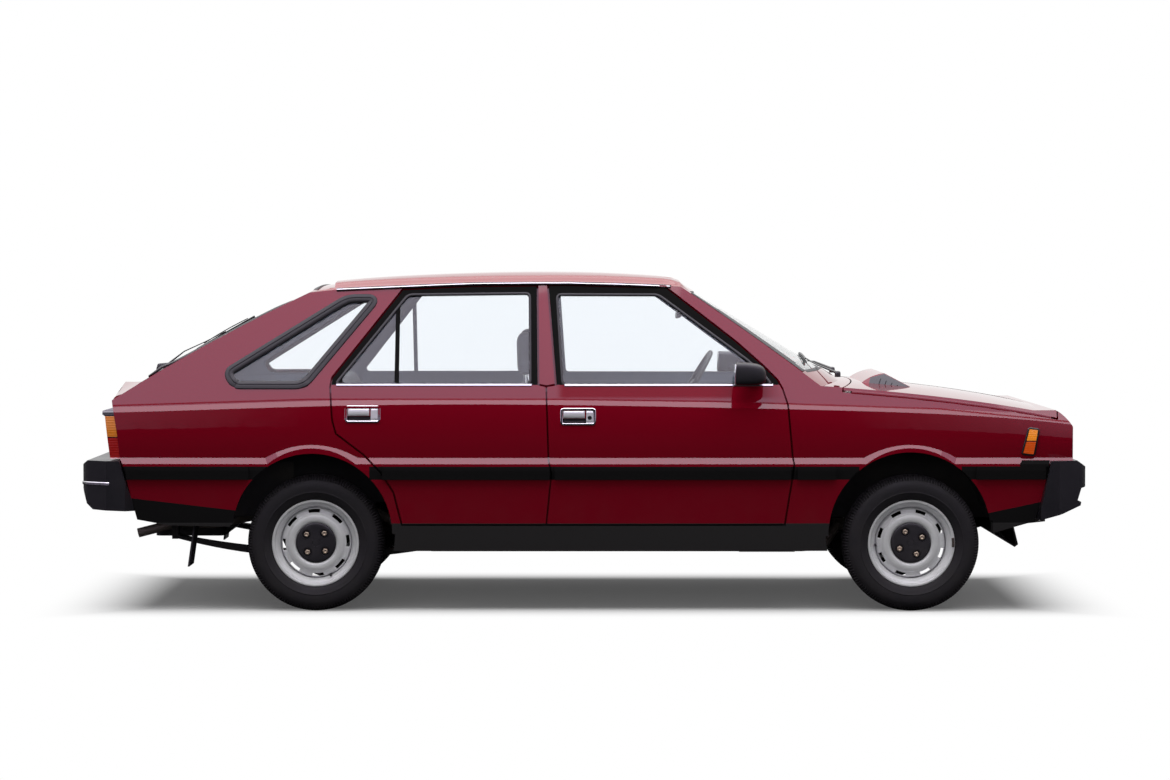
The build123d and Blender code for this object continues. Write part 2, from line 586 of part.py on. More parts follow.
# ---------------------------------------------------------------- bumpers
def bumper(profile, plan):
    """A side-view section carried across the car and rounded at the corners in plan."""
    with BuildPart() as bar:
        with BuildSketch(Plane.XZ):
            Polygon(*profile, align=None)
        extrude(amount=900, both=True)
        with BuildSketch(Plane.XY.offset(300)) as outline:
            Polygon(*plan, *[(x, -y) for x, y in reversed(plan)], align=None)
            fillet(outline.vertices().filter_by(lambda v: abs(v.Y) > 400 and abs(v.X) > 2000), 60)
        extrude(amount=500, mode=Mode.INTERSECT)
        add(outer_all, mode=Mode.SUBTRACT)
    return bar.part


front_bumper = bumper([(1951, 640), (2066, 640), (2136, 592), (2121, 531), (2086, 523), (2069, 472), (2086, 465),
                       (2083, 450), (1999, 418), (1902, 391), (1898, 397)],
                      [(2137, 0), (2132, 420), (2106, 735), (1985, 812), (1908, 812), (1880, 640)])
rear_bumper = bumper([(-1946, 640), (-2086, 640), (-2136, 600), (-2119, 554), (-2090, 459), (-2062, 435),
                      (-1984, 432), (-1884, 428)],
                     [(-2137, 0), (-2132, 420), (-2108, 735), (-2000, 806), (-1920, 806), (-1800, 640)])

# ---------------------------------------------------------------- nose, grille and lamps
NOSE_OPENING_HALF = 700.0
NOSE_OPENING_Z = (644.0, 768.0)
HEADLAMP_RADIUS = 61.0
HEADLAMP_Y = (462.0, 612.0)
LAMP_Z = sum(NOSE_OPENING_Z) / 2

nose_panel = both_sides(nose_left - block((1900, 2100), (-1, NOSE_OPENING_HALF), NOSE_OPENING_Z))
with BuildPart() as grille:
    add(block((2026, 2044), (-NOSE_OPENING_HALF, NOSE_OPENING_HALF), NOSE_OPENING_Z))
    add(block((2020, 2060), (-370, 370), (NOSE_OPENING_Z[0] + 8, NOSE_OPENING_Z[1] - 8)), mode=Mode.SUBTRACT)
    for lamp_y in HEADLAMP_Y:
        for side in (1, -1):
            with BuildSketch(Plane.YZ.offset(2010)):
                with Locations((side * lamp_y, LAMP_Z)):
                    Circle(HEADLAMP_RADIUS - 3)
            extrude(amount=60, mode=Mode.SUBTRACT)
    for step in range(6):
        bar_z = NOSE_OPENING_Z[0] + 8 + (step + 0.5) * (NOSE_OPENING_Z[1] - NOSE_OPENING_Z[0] - 16) / 6
        add(block((2026, 2048), (-370, 370), (bar_z - 4, bar_z + 4)))
with BuildPart() as headlamps:
    for lamp_y in HEADLAMP_Y:
        for side in (1, -1):
            with BuildSketch(Plane.YZ.offset(2012)):
                with Locations((side * lamp_y, LAMP_Z)):
                    Circle(HEADLAMP_RADIUS - 3)
            extrude(amount=34)
            with BuildSketch(Plane.YZ.offset(2012)):
                with Locations((side * lamp_y, LAMP_Z)):
                    Circle(HEADLAMP_RADIUS - 3)
            extrude(amount=-46, taper=16)
lamp_side = [(-1850, 648), (-1988, 648), (-2008, 826), (-2019, 833), (-2019, 849), (-1975, 862), (-1850, 862)]
tail_lamp_left = (side_prism(lamp_side, y_low=470) & flank_volume(3, 3)) - outer_all
with BuildPart() as tail_lamps:
    add(tail_lamp_left)
    add(mirror(tail_lamp_left, about=Plane.XZ))
with BuildPart() as indicator_lamps:
    lamp = (flank_volume(-9, -9) - flank_volume()) & side_prism([(1837, 672), (1880, 667), (1897, 768), (1862, 772)])
    add(lamp)
    add(mirror(lamp, about=Plane.XZ))

# ---------------------------------------------------------------- cabin
SEAT_Y = 358.0
STEERING_CENTRE = (480.0, SEAT_Y, 900.0)
COLUMN_ANGLE = 30.0

with BuildPart() as dashboard:
    with BuildSketch(Plane.XZ):
        Polygon((BULKHEAD_X, 640), (BULKHEAD_X, 930), (900, 928), (700, 892), (630, 850), (640, 760), (700, 640),
                align=None)
    extrude(amount=676, both=True)
    add(cavity, mode=Mode.INTERSECT)
    column = Plane(origin=STEERING_CENTRE, z_dir=(cos(radians(COLUMN_ANGLE)), 0, -sin(radians(COLUMN_ANGLE))))
    with BuildSketch(column.offset(42)):
        Circle(26)
    extrude(amount=200)
with BuildPart() as steering_wheel:
    with BuildSketch(column.offset(12)):
        RegularPolygon(196, 36)
        RegularPolygon(178, 36, mode=Mode.SUBTRACT)
    extrude(amount=-22)
    with BuildSketch(column.offset(14)):
        Rectangle(44, 366)
    extrude(amount=-12)
    with BuildSketch(column.offset(-10)):
        Circle(48)
    extrude(amount=51)


def chair(x, width, y, base_z, cushion_length, back_top, back_lean, thickness, head=False):
    """A padded seat: cushion and leaning back, with a headrest where asked."""
    parts = []
    with BuildPart() as cushion:
        with BuildSketch(Plane.XZ.offset(-y + width / 2)):
            Polygon((x, base_z), (x - cushion_length, base_z), (x - cushion_length, base_z + thickness * 0.85),
                    (x, base_z + thickness), align=None)
        extrude(amount=-width)
        fillet(cushion.edges().filter_by(Axis.Y, reverse=True), 18)
    parts.append(cushion.part)
    back_x = x - cushion_length + 60
    with BuildPart() as back:
        with BuildSketch(Plane.XZ.offset(-y + width / 2 - 10)):
            # the back rests on the cushion, which slopes down to its rear edge
            low = base_z + thickness * (0.85 + 0.15 * 60 / cushion_length) + SEAT_GAP
            top_x = back_x - back_lean
            Polygon((back_x, low), (back_x - 105, low), (top_x - 75, back_top), (top_x, back_top), align=None)
        extrude(amount=-(width - 20))
        fillet(back.edges().filter_by(Axis.Y, reverse=True), 18)
    parts.append(back.part)
    return parts


front_seat_parts = []
for seat_y in (SEAT_Y, -SEAT_Y):
    front_seat_parts += chair(280, 440, seat_y, 332, 470, 950, 90, 130)
with BuildPart() as front_seats:
    for seat_part in front_seat_parts:
        add(seat_part)
    for seat_y in (SEAT_Y, -SEAT_Y):
        with BuildSketch(Plane.XZ.offset(125 - seat_y)):
            Polygon((-288, 972), (-215, 972), (-222, 1172), (-270, 1178), align=None)
        extrude(amount=-250)
        for rod_y in (seat_y - 55, seat_y + 55):
            add(block((-262, -254), (rod_y - 5, rod_y + 5), (940, 980)))
        for runner_y in (seat_y - 185, seat_y + 185):
            add(block((-150, 230), (runner_y - 15, runner_y + 15), (286, 332)))
with BuildPart() as rear_seat:
    add(block((-980, -560), (-500, 500), (470, 570)))
    with BuildSketch(Plane.XZ.offset(-500)):
        Polygon((-905, 570.3), (-1010, 570.3), (-1130, 990), (-1050, 1000), align=None)
    extrude(amount=1000)

# ---------------------------------------------------------------- running gear
KINGPIN_TILT = 6.0
KINGPIN_Y = 600.0
STUB_RADIUS = 18.0
RUNNING_GAP = 0.4
HUB_RADIUS = 58.0


BEAD_RADIUS = 170.0
BEAD_OUT = 62.0              # the tyre's beads end here, against the rim's flanges
BARREL_WALL = 9.0
DISC_OUT = 28.0              # back of the wheel's pressed disc, outward of the rim's middle
DISC_THICKNESS = 5.0
CAP_RADIUS = 80.0
SLOT_CIRCLE = 134.0
CAP_HEIGHT = 17.0
DRUM_RADIUS = 112.0
DRUM_WIDTH = 12.0
HUB_IN = -20.0               # inner end of the hub
TURNED_SIDES = 44            # of tyres and rims; divisible by four, so a tyre stands on its full radius


def ring(outer_radius, inner_radius, low, high):
    """A ring round the axle line, between two distances from the rim's middle."""
    with BuildPart() as band:
        with BuildSketch(Plane.XZ.offset(-low)):
            Circle(outer_radius)
            if inner_radius:
                Circle(inner_radius, mode=Mode.SUBTRACT)
        extrude(amount=-(high - low))
    return band.part


def turned(profile, sides):
    """A closed profile of (radius, distance along the axle) turned about the wheel's axis in flat facets."""
    corners = []
    for step in range(sides):
        angle = radians(360 * step / sides)
        corners.append([(radius * cos(angle), along, radius * sin(angle)) for radius, along in profile])
    facets = []
    for here, there in zip(corners, corners[1:] + corners[:1]):
        for i in range(len(profile)):
            j = (i + 1) % len(profile)
            facets.append(Face(Wire.make_polygon([here[i], here[j], there[j], there[i]])))
    return Solid(Shell(facets))


def wheel_rim(drum_in):
    """Pressed steel rim with its hub, drum or disc and centre cap, for the left side, centred on the origin."""
    edge = RIM_WIDTH / 2
    barrel = BEAD_RADIUS - BARREL_WALL
    bore = STUB_RADIUS + RUNNING_GAP
    face = DISC_OUT + DISC_THICKNESS
    cap_face = face + CAP_HEIGHT
    with BuildPart() as rim:
        # barrel and flanges, back of the disc, drum, hub, cap, the ring pressed outward, and the disc's edge
        add(turned([(barrel, edge), (RIM_FLANGE_RADIUS, edge), (RIM_FLANGE_RADIUS, BEAD_OUT), (BEAD_RADIUS, BEAD_OUT),
                    (BEAD_RADIUS, -BEAD_OUT), (RIM_FLANGE_RADIUS, -BEAD_OUT), (RIM_FLANGE_RADIUS, -edge),
                    (barrel, -edge), (barrel, DISC_OUT), (HUB_RADIUS, DISC_OUT), (HUB_RADIUS, drum_in + DRUM_WIDTH),
                    (DRUM_RADIUS, drum_in + DRUM_WIDTH), (DRUM_RADIUS, drum_in), (HUB_RADIUS, drum_in),
                    (HUB_RADIUS, HUB_IN), (bore - 2, HUB_IN), (bore - 2, cap_face), (CAP_RADIUS - 10, cap_face),
                    (CAP_RADIUS, face), (CAP_RADIUS + 4, face), (CAP_RADIUS + 4, face + 14), (112, face + 14),
                    (118, face), (barrel, face)], TURNED_SIDES))
        add(ring(bore, 0, HUB_IN, DISC_OUT + 10), mode=Mode.SUBTRACT)
        add(ring(bore + 4, 0, DISC_OUT + 10, cap_face - 0.5))
        with BuildSketch(Plane.XZ.offset(-DISC_OUT)):
            with PolarLocations(SLOT_CIRCLE, 8):
                Rectangle(12, 46)
        extrude(amount=-DISC_THICKNESS, mode=Mode.SUBTRACT)
    return rim.part


def wheel_tyre():
    """Tyre for either side: broad crown, rounded shoulders and sidewalls that lean in to the beads."""
    half = TYRE_WIDTH / 2
    shoulder = TYRE_RADIUS - 19.6
    return turned([(BEAD_RADIUS, -BEAD_OUT), (RIM_FLANGE_RADIUS, -BEAD_OUT), (230, -half), (238, -half),
                   (shoulder, 11.5 - half), (TYRE_RADIUS, 31.5 - half), (TYRE_RADIUS, half - 31.5),
                   (shoulder, half - 11.5), (238, half), (230, half), (RIM_FLANGE_RADIUS, BEAD_OUT),
                   (BEAD_RADIUS, BEAD_OUT)], TURNED_SIDES)


front_rim = wheel_rim(-18)
rear_rim = wheel_rim(0)
tyre = wheel_tyre()
front_wheel = Location((FRONT_AXLE_X, FRONT_TRACK / 2, AXLE_Z))
rear_wheel = Location((REAR_AXLE_X, REAR_TRACK / 2, AXLE_Z))

kingpin_slope = tan(radians(KINGPIN_TILT))
LOWER_BALL_Z = AXLE_Z - 104
UPPER_BALL_Z = AXLE_Z + 118
ARM_HALF = 13.0
KNUCKLE_RADIUS = 17.0


def kingpin_y(z):
    """Where the steering axis lies at a given height."""
    return KINGPIN_Y - (z - AXLE_Z) * kingpin_slope


def kingpin_plane(z):
    """Plane square to the steering axis, so that a face on it keeps its place as the knuckle turns."""
    return Plane(origin=(FRONT_AXLE_X, kingpin_y(z), z), x_dir=(1, 0, 0), z_dir=(0, -kingpin_slope, 1))


tilt_rise = KNUCKLE_RADIUS * sin(radians(KINGPIN_TILT))
KNUCKLE_LOW_Z = LOWER_BALL_Z + ARM_HALF + SEAT_GAP + tilt_rise
KNUCKLE_HIGH_Z = UPPER_BALL_Z - ARM_HALF - SEAT_GAP - tilt_rise
with BuildPart() as knuckle_left:
    with BuildSketch(kingpin_plane(KNUCKLE_LOW_Z)):
        Circle(KNUCKLE_RADIUS)
    extrude(amount=(KNUCKLE_HIGH_Z - KNUCKLE_LOW_Z) / cos(radians(KINGPIN_TILT)))
    with BuildSketch(Plane.XZ.offset(-KINGPIN_Y)):
        with Locations((FRONT_AXLE_X, AXLE_Z)):
            Circle(STUB_RADIUS)
    extrude(amount=-(FRONT_TRACK / 2 + 28 - KINGPIN_Y))
    add(block((FRONT_AXLE_X - 120, FRONT_AXLE_X), (KINGPIN_Y - 18, KINGPIN_Y + 6), (AXLE_Z - 58, AXLE_Z - 38)))

with BuildPart() as front_suspension:
    add(block((FRONT_AXLE_X - 70, FRONT_AXLE_X + 70), (-350, 350), (190, 262)))
    add(block((FRONT_AXLE_X - 60, FRONT_AXLE_X + 60), (338, 394), (262, 372)))
    add(block((FRONT_AXLE_X - 60, FRONT_AXLE_X + 60), (-394, -338), (262, 372)))
    for side in (1, -1):
        for ball_z, root_z, half in ((LOWER_BALL_Z, 215, 70), (UPPER_BALL_Z, 345, 60)):
            ball_y = kingpin_y(ball_z)
            with BuildSketch(Plane.XY.offset(ball_z - ARM_HALF)):
                Polygon((FRONT_AXLE_X - half, side * 345), (FRONT_AXLE_X - 22, side * (ball_y - 40)),
                        (FRONT_AXLE_X - 17, side * (ball_y + 14)), (FRONT_AXLE_X + 17, side * (ball_y + 14)),
                        (FRONT_AXLE_X + 22, side * (ball_y - 40)), (FRONT_AXLE_X + half, side * 345), align=None)
            extrude(amount=2 * ARM_HALF)
    add(block((FRONT_AXLE_X - 60, FRONT_AXLE_X + 60), (338, 394), (372, UPPER_BALL_Z + 13)))
    add(block((FRONT_AXLE_X - 60, FRONT_AXLE_X + 60), (-394, -338), (372, UPPER_BALL_Z + 13)))
    add(engine_bay.part, mode=Mode.SUBTRACT)

LEAF_Y = 478.0
with BuildPart() as rear_axle:
    add(across(REAR_AXLE_X, AXLE_Z, 36, -575, 575))
    add(across(REAR_AXLE_X, AXLE_Z, STUB_RADIUS, -(REAR_TRACK / 2 + 28), REAR_TRACK / 2 + 28))
    add(across(REAR_AXLE_X, AXLE_Z, 104, -62, 62))
    with BuildSketch(Plane.YZ.offset(REAR_AXLE_X + 60)):
        with Locations((0, AXLE_Z)):
            Circle(62)
    extrude(amount=54, taper=12)
with BuildPart() as leaf_springs:
    for side in (1, -1):
        with BuildSketch(Plane.XZ.offset(-side * LEAF_Y + 30)):
            with BuildLine():
                top = ThreePointArc((-560, 280), (REAR_AXLE_X, 238), (-1745, 305))
                Line((-1745, 305), (-1745, 291))
                ThreePointArc((-1745, 291), (REAR_AXLE_X, 206), (-560, 266))
                Line((-560, 266), (-560, 280))
            make_face()
        extrude(amount=-60)
        add(block((REAR_AXLE_X - 60, REAR_AXLE_X + 60), sorted((side * (LEAF_Y - 34), side * (LEAF_Y + 34))),
                  (196, 290)))
        add(block((-600, -552), sorted((side * (LEAF_Y - 30), side * (LEAF_Y + 30))), (262, 446)) -
            block((-620, -582), (-600, 600), (200, 430)))
        add(block((-1765, -1738), sorted((side * (LEAF_Y - 30), side * (LEAF_Y + 30))), (288, 404)))
    add(floor_pan.part, mode=Mode.SUBTRACT)
    add(rear_axle.part, mode=Mode.SUBTRACT)

with BuildPart() as drivetrain:
    add(block((1085, 1640), (-190, 190), (300, 700)))
    add(block((1140, 1600), (-90, 120), (700, 800)))
    with BuildSketch(Plane.YZ.offset(1085)):
        with Locations((0, 370)):
            RectangleRounded(250, 200, 30)
    with BuildSketch(Plane.YZ.offset(640)):
        with Locations((0, 330)):
            RectangleRounded(120, 120, 30)
    loft()
    add(block((1340, 1410), (-338, 338), (262, 300)))
with BuildPart() as propshaft:
    with BuildSketch(Plane.YZ.offset(640)):
        with Locations((0, 320)):
            Circle(34)
    with BuildSketch(Plane.YZ.offset(-1024)):
        with Locations((0, AXLE_Z)):
            Circle(34)
    loft()
    add(rear_axle.part, mode=Mode.SUBTRACT)

with BuildPart() as exhaust:
    with BuildLine() as route:
        Polyline((1110, -210, 330), (1040, -260, 238), (940, -330, 238), (-660, -330, 238), (-900, -330, 392),
                 (-1330, -330, 392),
                 (-1600, -400, 344), (-1749, -410, 350), (-1922, -420, 306))
    with BuildSketch(Plane(origin=route.wire() @ 0, z_dir=route.wire() % 0)):
        Circle(20)
    sweep(transition=Transition.ROUND)
    add(block((1085, 1140), (-216, -190), (305, 355)))
    # front silencer, in line with the pipe under the floor
    with BuildSketch(Plane.YZ.offset(670)):
        with Locations((-330, 238)):
            Ellipse(42, 22)
    extrude(amount=240)
with BuildPart() as fuel_tank:
    add(block((-1860, -1560), (-330, 360), (286, 404)))
    fillet(fuel_tank.edges().filter_by(Axis.Z), 30)

# ---------------------------------------------------------------- pieces under the body, and wipers
with BuildPart() as flap:
    with BuildSketch(Plane.XZ.offset(-560)):
        Polygon((-1641, 404), (-1634, 404), (-1665, 189), (-1672, 189), align=None)
    extrude(amount=-156)
    add(side_frame_left, mode=Mode.SUBTRACT)
with BuildPart() as mud_flaps:
    add(flap.part)
    add(mirror(flap.part, about=Plane.XZ))
with BuildPart() as under_tray:
    with BuildSketch(Plane.XZ):
        Polygon((1719, 372), (1719, 325), (1857, 242), (1872, 254), (1842, 372), (1836, 372), (1862, 258), (1855, 252),
                (1725, 330), (1725, 372), align=None)
    extrude(amount=392, both=True)
    add(block((1700, 1900), (-338, 338), (326, 400)), mode=Mode.SUBTRACT)
    add(front_wing_left, mode=Mode.SUBTRACT)
    add(mirror(front_wing_left, about=Plane.XZ), mode=Mode.SUBTRACT)
with BuildPart() as tow_brackets:
    for side in (1, -1):
        with BuildSketch(Plane.XZ.offset(-min(side * 356, side * 376))):
            Polygon((1860, 395), (1890, 395), (1905, 372), (1990, 372), (1990, 352), (1900, 342), (1860, 360),
                    align=None)
            with Locations((1968, 361)):
                Circle(6, mode=Mode.SUBTRACT)
        extrude(amount=-20)
    add(outer_all, mode=Mode.SUBTRACT)

WIPER_SPINDLES = ((1088.0, -420.0), (1108.0, 130.0))
with BuildPart() as wipers:
    for x, y in WIPER_SPINDLES:
        with BuildSketch(Plane.XY.offset(930)):
            with Locations((x, y)):
                Circle(13)
        extrude(amount=75)
        add(block((x - 170, x + 13), (y - 8, y + 8), (1000, 1012)))
    add(outer_all, mode=Mode.SUBTRACT)

# ---------------------------------------------------------------- door mirrors
with BuildPart() as mirror_left:
    with BuildSketch(Plane.XZ.offset(-778)):
        Polygon((620, 955), (760, 965), (745, 1052), (640, 1056), align=None)
        fillet(vertices(), 12)
    extrude(amount=-120)
    add(block((668, 716), (700, 780), (962, 1000)))
    add(flank_volume(0, 0, 180), mode=Mode.SUBTRACT)

# ---------------------------------------------------------------- export
with BuildPart() as fixed_windows:
    add(windscreen)
    add(quarter_pane)
    add(mirror(quarter_pane, about=Plane.XZ))
left_pieces = {
    "side_frame": side_frame_left, "front_wing": front_wing_left, "front_door": door_front_left,
    "rear_door": door_rear_left, "front_door_glass": glass_front_left, "rear_door_glass": glass_rear_left,
    "mirror": mirror_left.part, "knuckle": knuckle_left.part, "front_rim": front_wheel * front_rim,
    "front_tyre": front_wheel * tyre, "rear_rim": rear_wheel * rear_rim, "rear_tyre": rear_wheel * tyre,
}
whole_pieces = {
    "roof_panel": roof_panel, "nose_panel": nose_panel, "cowl_panel": cowl_panel, "rear_panel": rear_panel,
    "bonnet": bonnet, "tailgate": tailgate, "rear_window": rear_glass, "fixed_windows": fixed_windows.part,
    "floor_pan": floor_pan.part, "engine_bay": engine_bay.part, "front_bumper": front_bumper,
    "rear_bumper": rear_bumper, "grille": grille.part, "headlamps": headlamps.part, "tail_lamps": tail_lamps.part,
    "indicator_lamps": indicator_lamps.part, "dashboard": dashboard.part, "steering_wheel": steering_wheel.part,
    "front_seats": front_seats.part, "rear_seat": rear_seat.part, "front_suspension": front_suspension.part,
    "rear_axle": rear_axle.part, "leaf_springs": leaf_springs.part, "drivetrain": drivetrain.part,
    "propshaft": propshaft.part,
    "exhaust": exhaust.part, "fuel_tank": fuel_tank.part, "mud_flaps": mud_flaps.part,
    "under_tray": biggest(under_tray.part), "tow_brackets": tow_brackets.part, "wipers": wipers.part,
}
for name, piece in left_pieces.items():
    save(piece, f"{name}_left")
    save(mirror(piece, about=Plane.XZ), f"{name}_right")
for name, piece in whole_pieces.items():
    save(piece, name)
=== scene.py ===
# %% [markdown]
# # A five-door hatchback of the early 1980s
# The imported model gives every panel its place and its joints. This lesson dresses it: paint, rubber, glass,
# tyres, seats and trim, each made with Blender's own tools and fixed to the body that carries it.

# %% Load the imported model
import bmesh, bpy, json, math
from mathutils import Matrix, Vector
from mathutils.bvhtree import BVHTree


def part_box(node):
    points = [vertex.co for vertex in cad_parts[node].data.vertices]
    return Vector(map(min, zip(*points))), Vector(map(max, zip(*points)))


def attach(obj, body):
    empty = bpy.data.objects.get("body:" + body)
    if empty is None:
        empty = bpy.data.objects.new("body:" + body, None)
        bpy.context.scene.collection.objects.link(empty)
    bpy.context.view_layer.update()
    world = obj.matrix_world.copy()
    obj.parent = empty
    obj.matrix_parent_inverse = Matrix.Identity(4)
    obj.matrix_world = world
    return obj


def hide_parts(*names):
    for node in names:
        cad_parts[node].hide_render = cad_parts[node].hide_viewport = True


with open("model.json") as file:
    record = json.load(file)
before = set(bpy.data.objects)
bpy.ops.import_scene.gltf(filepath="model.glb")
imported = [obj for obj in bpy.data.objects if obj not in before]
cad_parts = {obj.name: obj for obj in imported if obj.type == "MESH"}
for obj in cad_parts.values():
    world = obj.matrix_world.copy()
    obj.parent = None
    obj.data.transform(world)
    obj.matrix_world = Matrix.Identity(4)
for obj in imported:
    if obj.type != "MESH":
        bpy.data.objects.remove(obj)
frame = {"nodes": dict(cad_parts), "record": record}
bpy.context.scene.view_settings.view_transform = "Standard"
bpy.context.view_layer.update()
nodes = frame["nodes"]

# %% [markdown]
# ## The camera
# The car is seen square from its right side, from thirteen metres away and a little above the bonnet. A long
# lens keeps both wheels nearly round. The camera stands at eye height and looks very slightly down.

# %% Place the camera
camera = bpy.data.objects.new("camera", bpy.data.cameras.new("camera"))
camera.data.sensor_width = 36.0
camera.data.lens = 94.4
camera.location = (0.0, -13.6, 1.452)
aim = Vector((0.002, 0.0, 0.905))
camera.rotation_euler = (aim - camera.location).to_track_quat("-Z", "Y").to_euler()
camera.data.clip_end = 200.0
bpy.context.scene.collection.objects.link(camera)
bpy.context.scene.camera = camera
print("camera with a", round(camera.data.lens, 1), "mm lens")

# %% [markdown]
# ## Helpers for node trees
# A material is a small program of nodes. Three helpers keep the later cells short: one makes a material and
# hands back its tree and its Principled shader, one adds a node with its settings, and one joins sockets.


# %% Node helpers
def new_material(name):
    """An empty material with its Principled shader and output."""
    material = bpy.data.materials.new(name)
    material.use_nodes = True
    return material, material.node_tree, material.node_tree.nodes["Principled BSDF"]


def node(tree, kind, **settings):
    """Adds a node. Settings that name a socket set its value, and the others set a property."""
    made = tree.nodes.new(kind)
    for key, value in settings.items():
        if hasattr(made, key):
            setattr(made, key, value)
        else:
            made.inputs[key.replace("_", " ")].default_value = value
    return made


def math_node(tree, operation, a, b=None):
    """One sum on two sockets or numbers."""
    made = tree.nodes.new("ShaderNodeMath")
    made.operation = operation
    for slot, value in enumerate((a, b)):
        if value is None:
            continue
        if isinstance(value, (int, float)):
            made.inputs[slot].default_value = value
        else:
            tree.links.new(value, made.inputs[slot])
    return made.outputs[0]


def shader_group(name, inputs, outputs):
    """A node group with named inputs (name, kind, value) and outputs (name, kind)."""
    group = bpy.data.node_groups.new(name, "ShaderNodeTree")
    for label, kind, value in inputs:
        socket = group.interface.new_socket(name=label, in_out="INPUT", socket_type="NodeSocket" + kind)
        socket.default_value = value
    for label, kind in outputs:
        group.interface.new_socket(name=label, in_out="OUTPUT", socket_type="NodeSocket" + kind)
    return group, group.nodes.new("NodeGroupInput"), group.nodes.new("NodeGroupOutput")


def use_group(tree, group, **values):
    """Places a group in a material, with this material's own values."""
    made = tree.nodes.new("ShaderNodeGroup")
    made.node_tree = group
    for key, value in values.items():
        made.inputs[key.replace("_", " ")].default_value = value
    return made


def rgba(colour):
    return (*colour, 1.0)


# %% [markdown]
# ## The studio
# The car stands on a pale floor with white behind it. Camera rays and rays through glass find plain white, while
# the sky that lights the car is softer. Mirror rays find white above and a dimmer studio low down on the near
# side, so that gloss paint keeps its depth.

# %% Sky
world = bpy.data.worlds.new("studio")
bpy.context.scene.world = world
world.use_nodes = True
sky = world.node_tree
sky.nodes.clear()
ray = node(sky, "ShaderNodeLightPath")
where = node(sky, "ShaderNodeTexCoord")
split = node(sky, "ShaderNodeSeparateXYZ")
sky.links.new(where.outputs["Generated"], split.inputs[0])
height = node(sky, "ShaderNodeMapRange", From_Min=0.20, From_Max=0.66, To_Min=0.0, To_Max=2.4)
sky.links.new(split.outputs["Z"], height.inputs["Value"])
far_side = node(sky, "ShaderNodeMapRange", From_Min=-0.10, From_Max=0.35, To_Min=0.0, To_Max=1.0)
sky.links.new(split.outputs["Y"], far_side.inputs["Value"])
ends = node(sky, "ShaderNodeMapRange", From_Min=0.12, From_Max=0.24, To_Min=0.0, To_Max=0.6)
sky.links.new(math_node(sky, "ABSOLUTE", split.outputs["X"]), ends.inputs["Value"])
mirrored_sky = math_node(sky, "MAXIMUM", math_node(sky, "MAXIMUM", height.outputs[0], far_side.outputs[0]),
                         ends.outputs[0])
direct = math_node(sky, "MAXIMUM", ray.outputs["Is Camera Ray"], ray.outputs["Is Transmission Ray"])
glossy = math_node(sky, "MULTIPLY", ray.outputs["Is Glossy Ray"], mirrored_sky)
whiteness = math_node(sky, "MAXIMUM", direct, glossy)
diffuse = math_node(sky, "MULTIPLY", ray.outputs["Is Diffuse Ray"], 0.26)
strength = math_node(sky, "MAXIMUM", whiteness, diffuse)
tint = node(sky, "ShaderNodeMix", data_type="RGBA")
tint.inputs["A"].default_value = (0.96, 0.84, 1.10, 1)
tint.inputs["B"].default_value = (1, 1, 1, 1)
plain = math_node(sky, "MAXIMUM", math_node(sky, "MAXIMUM", direct, far_side.outputs[0]), ray.outputs["Is Diffuse Ray"])
sky.links.new(plain, tint.inputs["Factor"])
background = node(sky, "ShaderNodeBackground")
sky.links.new(tint.outputs["Result"], background.inputs["Color"])
sky.links.new(strength, background.inputs["Strength"])
sky.links.new(background.outputs[0], node(sky, "ShaderNodeOutputWorld").inputs["Surface"])

# %% [markdown]
# The floor has to be white to the camera and still carry the car's soft shadow. Its colour is a plain diffuse
# white, a little of which is its own light for camera rays. Further off it turns into plain white light, so that
# only the soft shadow round the car is left of it. For mirror rays it is greyer, as a studio floor is.

# %% Floor
floor_material, tree, shader = new_material("studio_floor")
shader.inputs["Roughness"].default_value = 0.8
shader.inputs["Specular IOR Level"].default_value = 0.0
ray = node(tree, "ShaderNodeLightPath")
seen = math_node(tree, "MAXIMUM", ray.outputs["Is Camera Ray"], ray.outputs["Is Transmission Ray"])
mirrored = node(tree, "ShaderNodeMix", data_type="RGBA")
mirrored.inputs["A"].default_value = (0.05, 0.05, 0.055, 1)
mirrored.inputs["B"].default_value = (0.018, 0.018, 0.020, 1)
tree.links.new(ray.outputs["Is Glossy Ray"], mirrored.inputs["Factor"])
pale = node(tree, "ShaderNodeMix", data_type="RGBA")
tree.links.new(mirrored.outputs["Result"], pale.inputs["A"])
pale.inputs["B"].default_value = (0.93, 0.93, 0.935, 1)
tree.links.new(seen, pale.inputs["Factor"])
where = node(tree, "ShaderNodeTexCoord")
place = node(tree, "ShaderNodeSeparateXYZ")
tree.links.new(where.outputs["Object"], place.inputs[0])
beyond = []
for axis, start, end in (("X", 1.75, 2.35), ("Y", 0.52, 1.0)):
    fade = node(tree, "ShaderNodeMapRange", From_Min=start, From_Max=end, interpolation_type="SMOOTHSTEP")
    tree.links.new(math_node(tree, "ABSOLUTE", place.outputs[axis]), fade.inputs["Value"])
    beyond.append(fade.outputs[0])
far_off = math_node(tree, "MULTIPLY", math_node(tree, "MAXIMUM", beyond[0], beyond[1]), seen)
faded = node(tree, "ShaderNodeMix", data_type="RGBA")
faded.inputs["B"].default_value = (0, 0, 0, 1)
tree.links.new(far_off, faded.inputs["Factor"])
tree.links.new(pale.outputs["Result"], faded.inputs["A"])
tree.links.new(faded.outputs["Result"], shader.inputs["Base Color"])
shader.inputs["Emission Color"].default_value = (1, 1, 1, 1)
near_light = math_node(tree, "MULTIPLY", seen, 0.06)
tree.links.new(math_node(tree, "MAXIMUM", near_light, far_off), shader.inputs["Emission Strength"])
bpy.ops.mesh.primitive_plane_add(size=160)
floor = bpy.context.object
floor.name = "studio_floor"
floor.data.materials.append(floor_material)


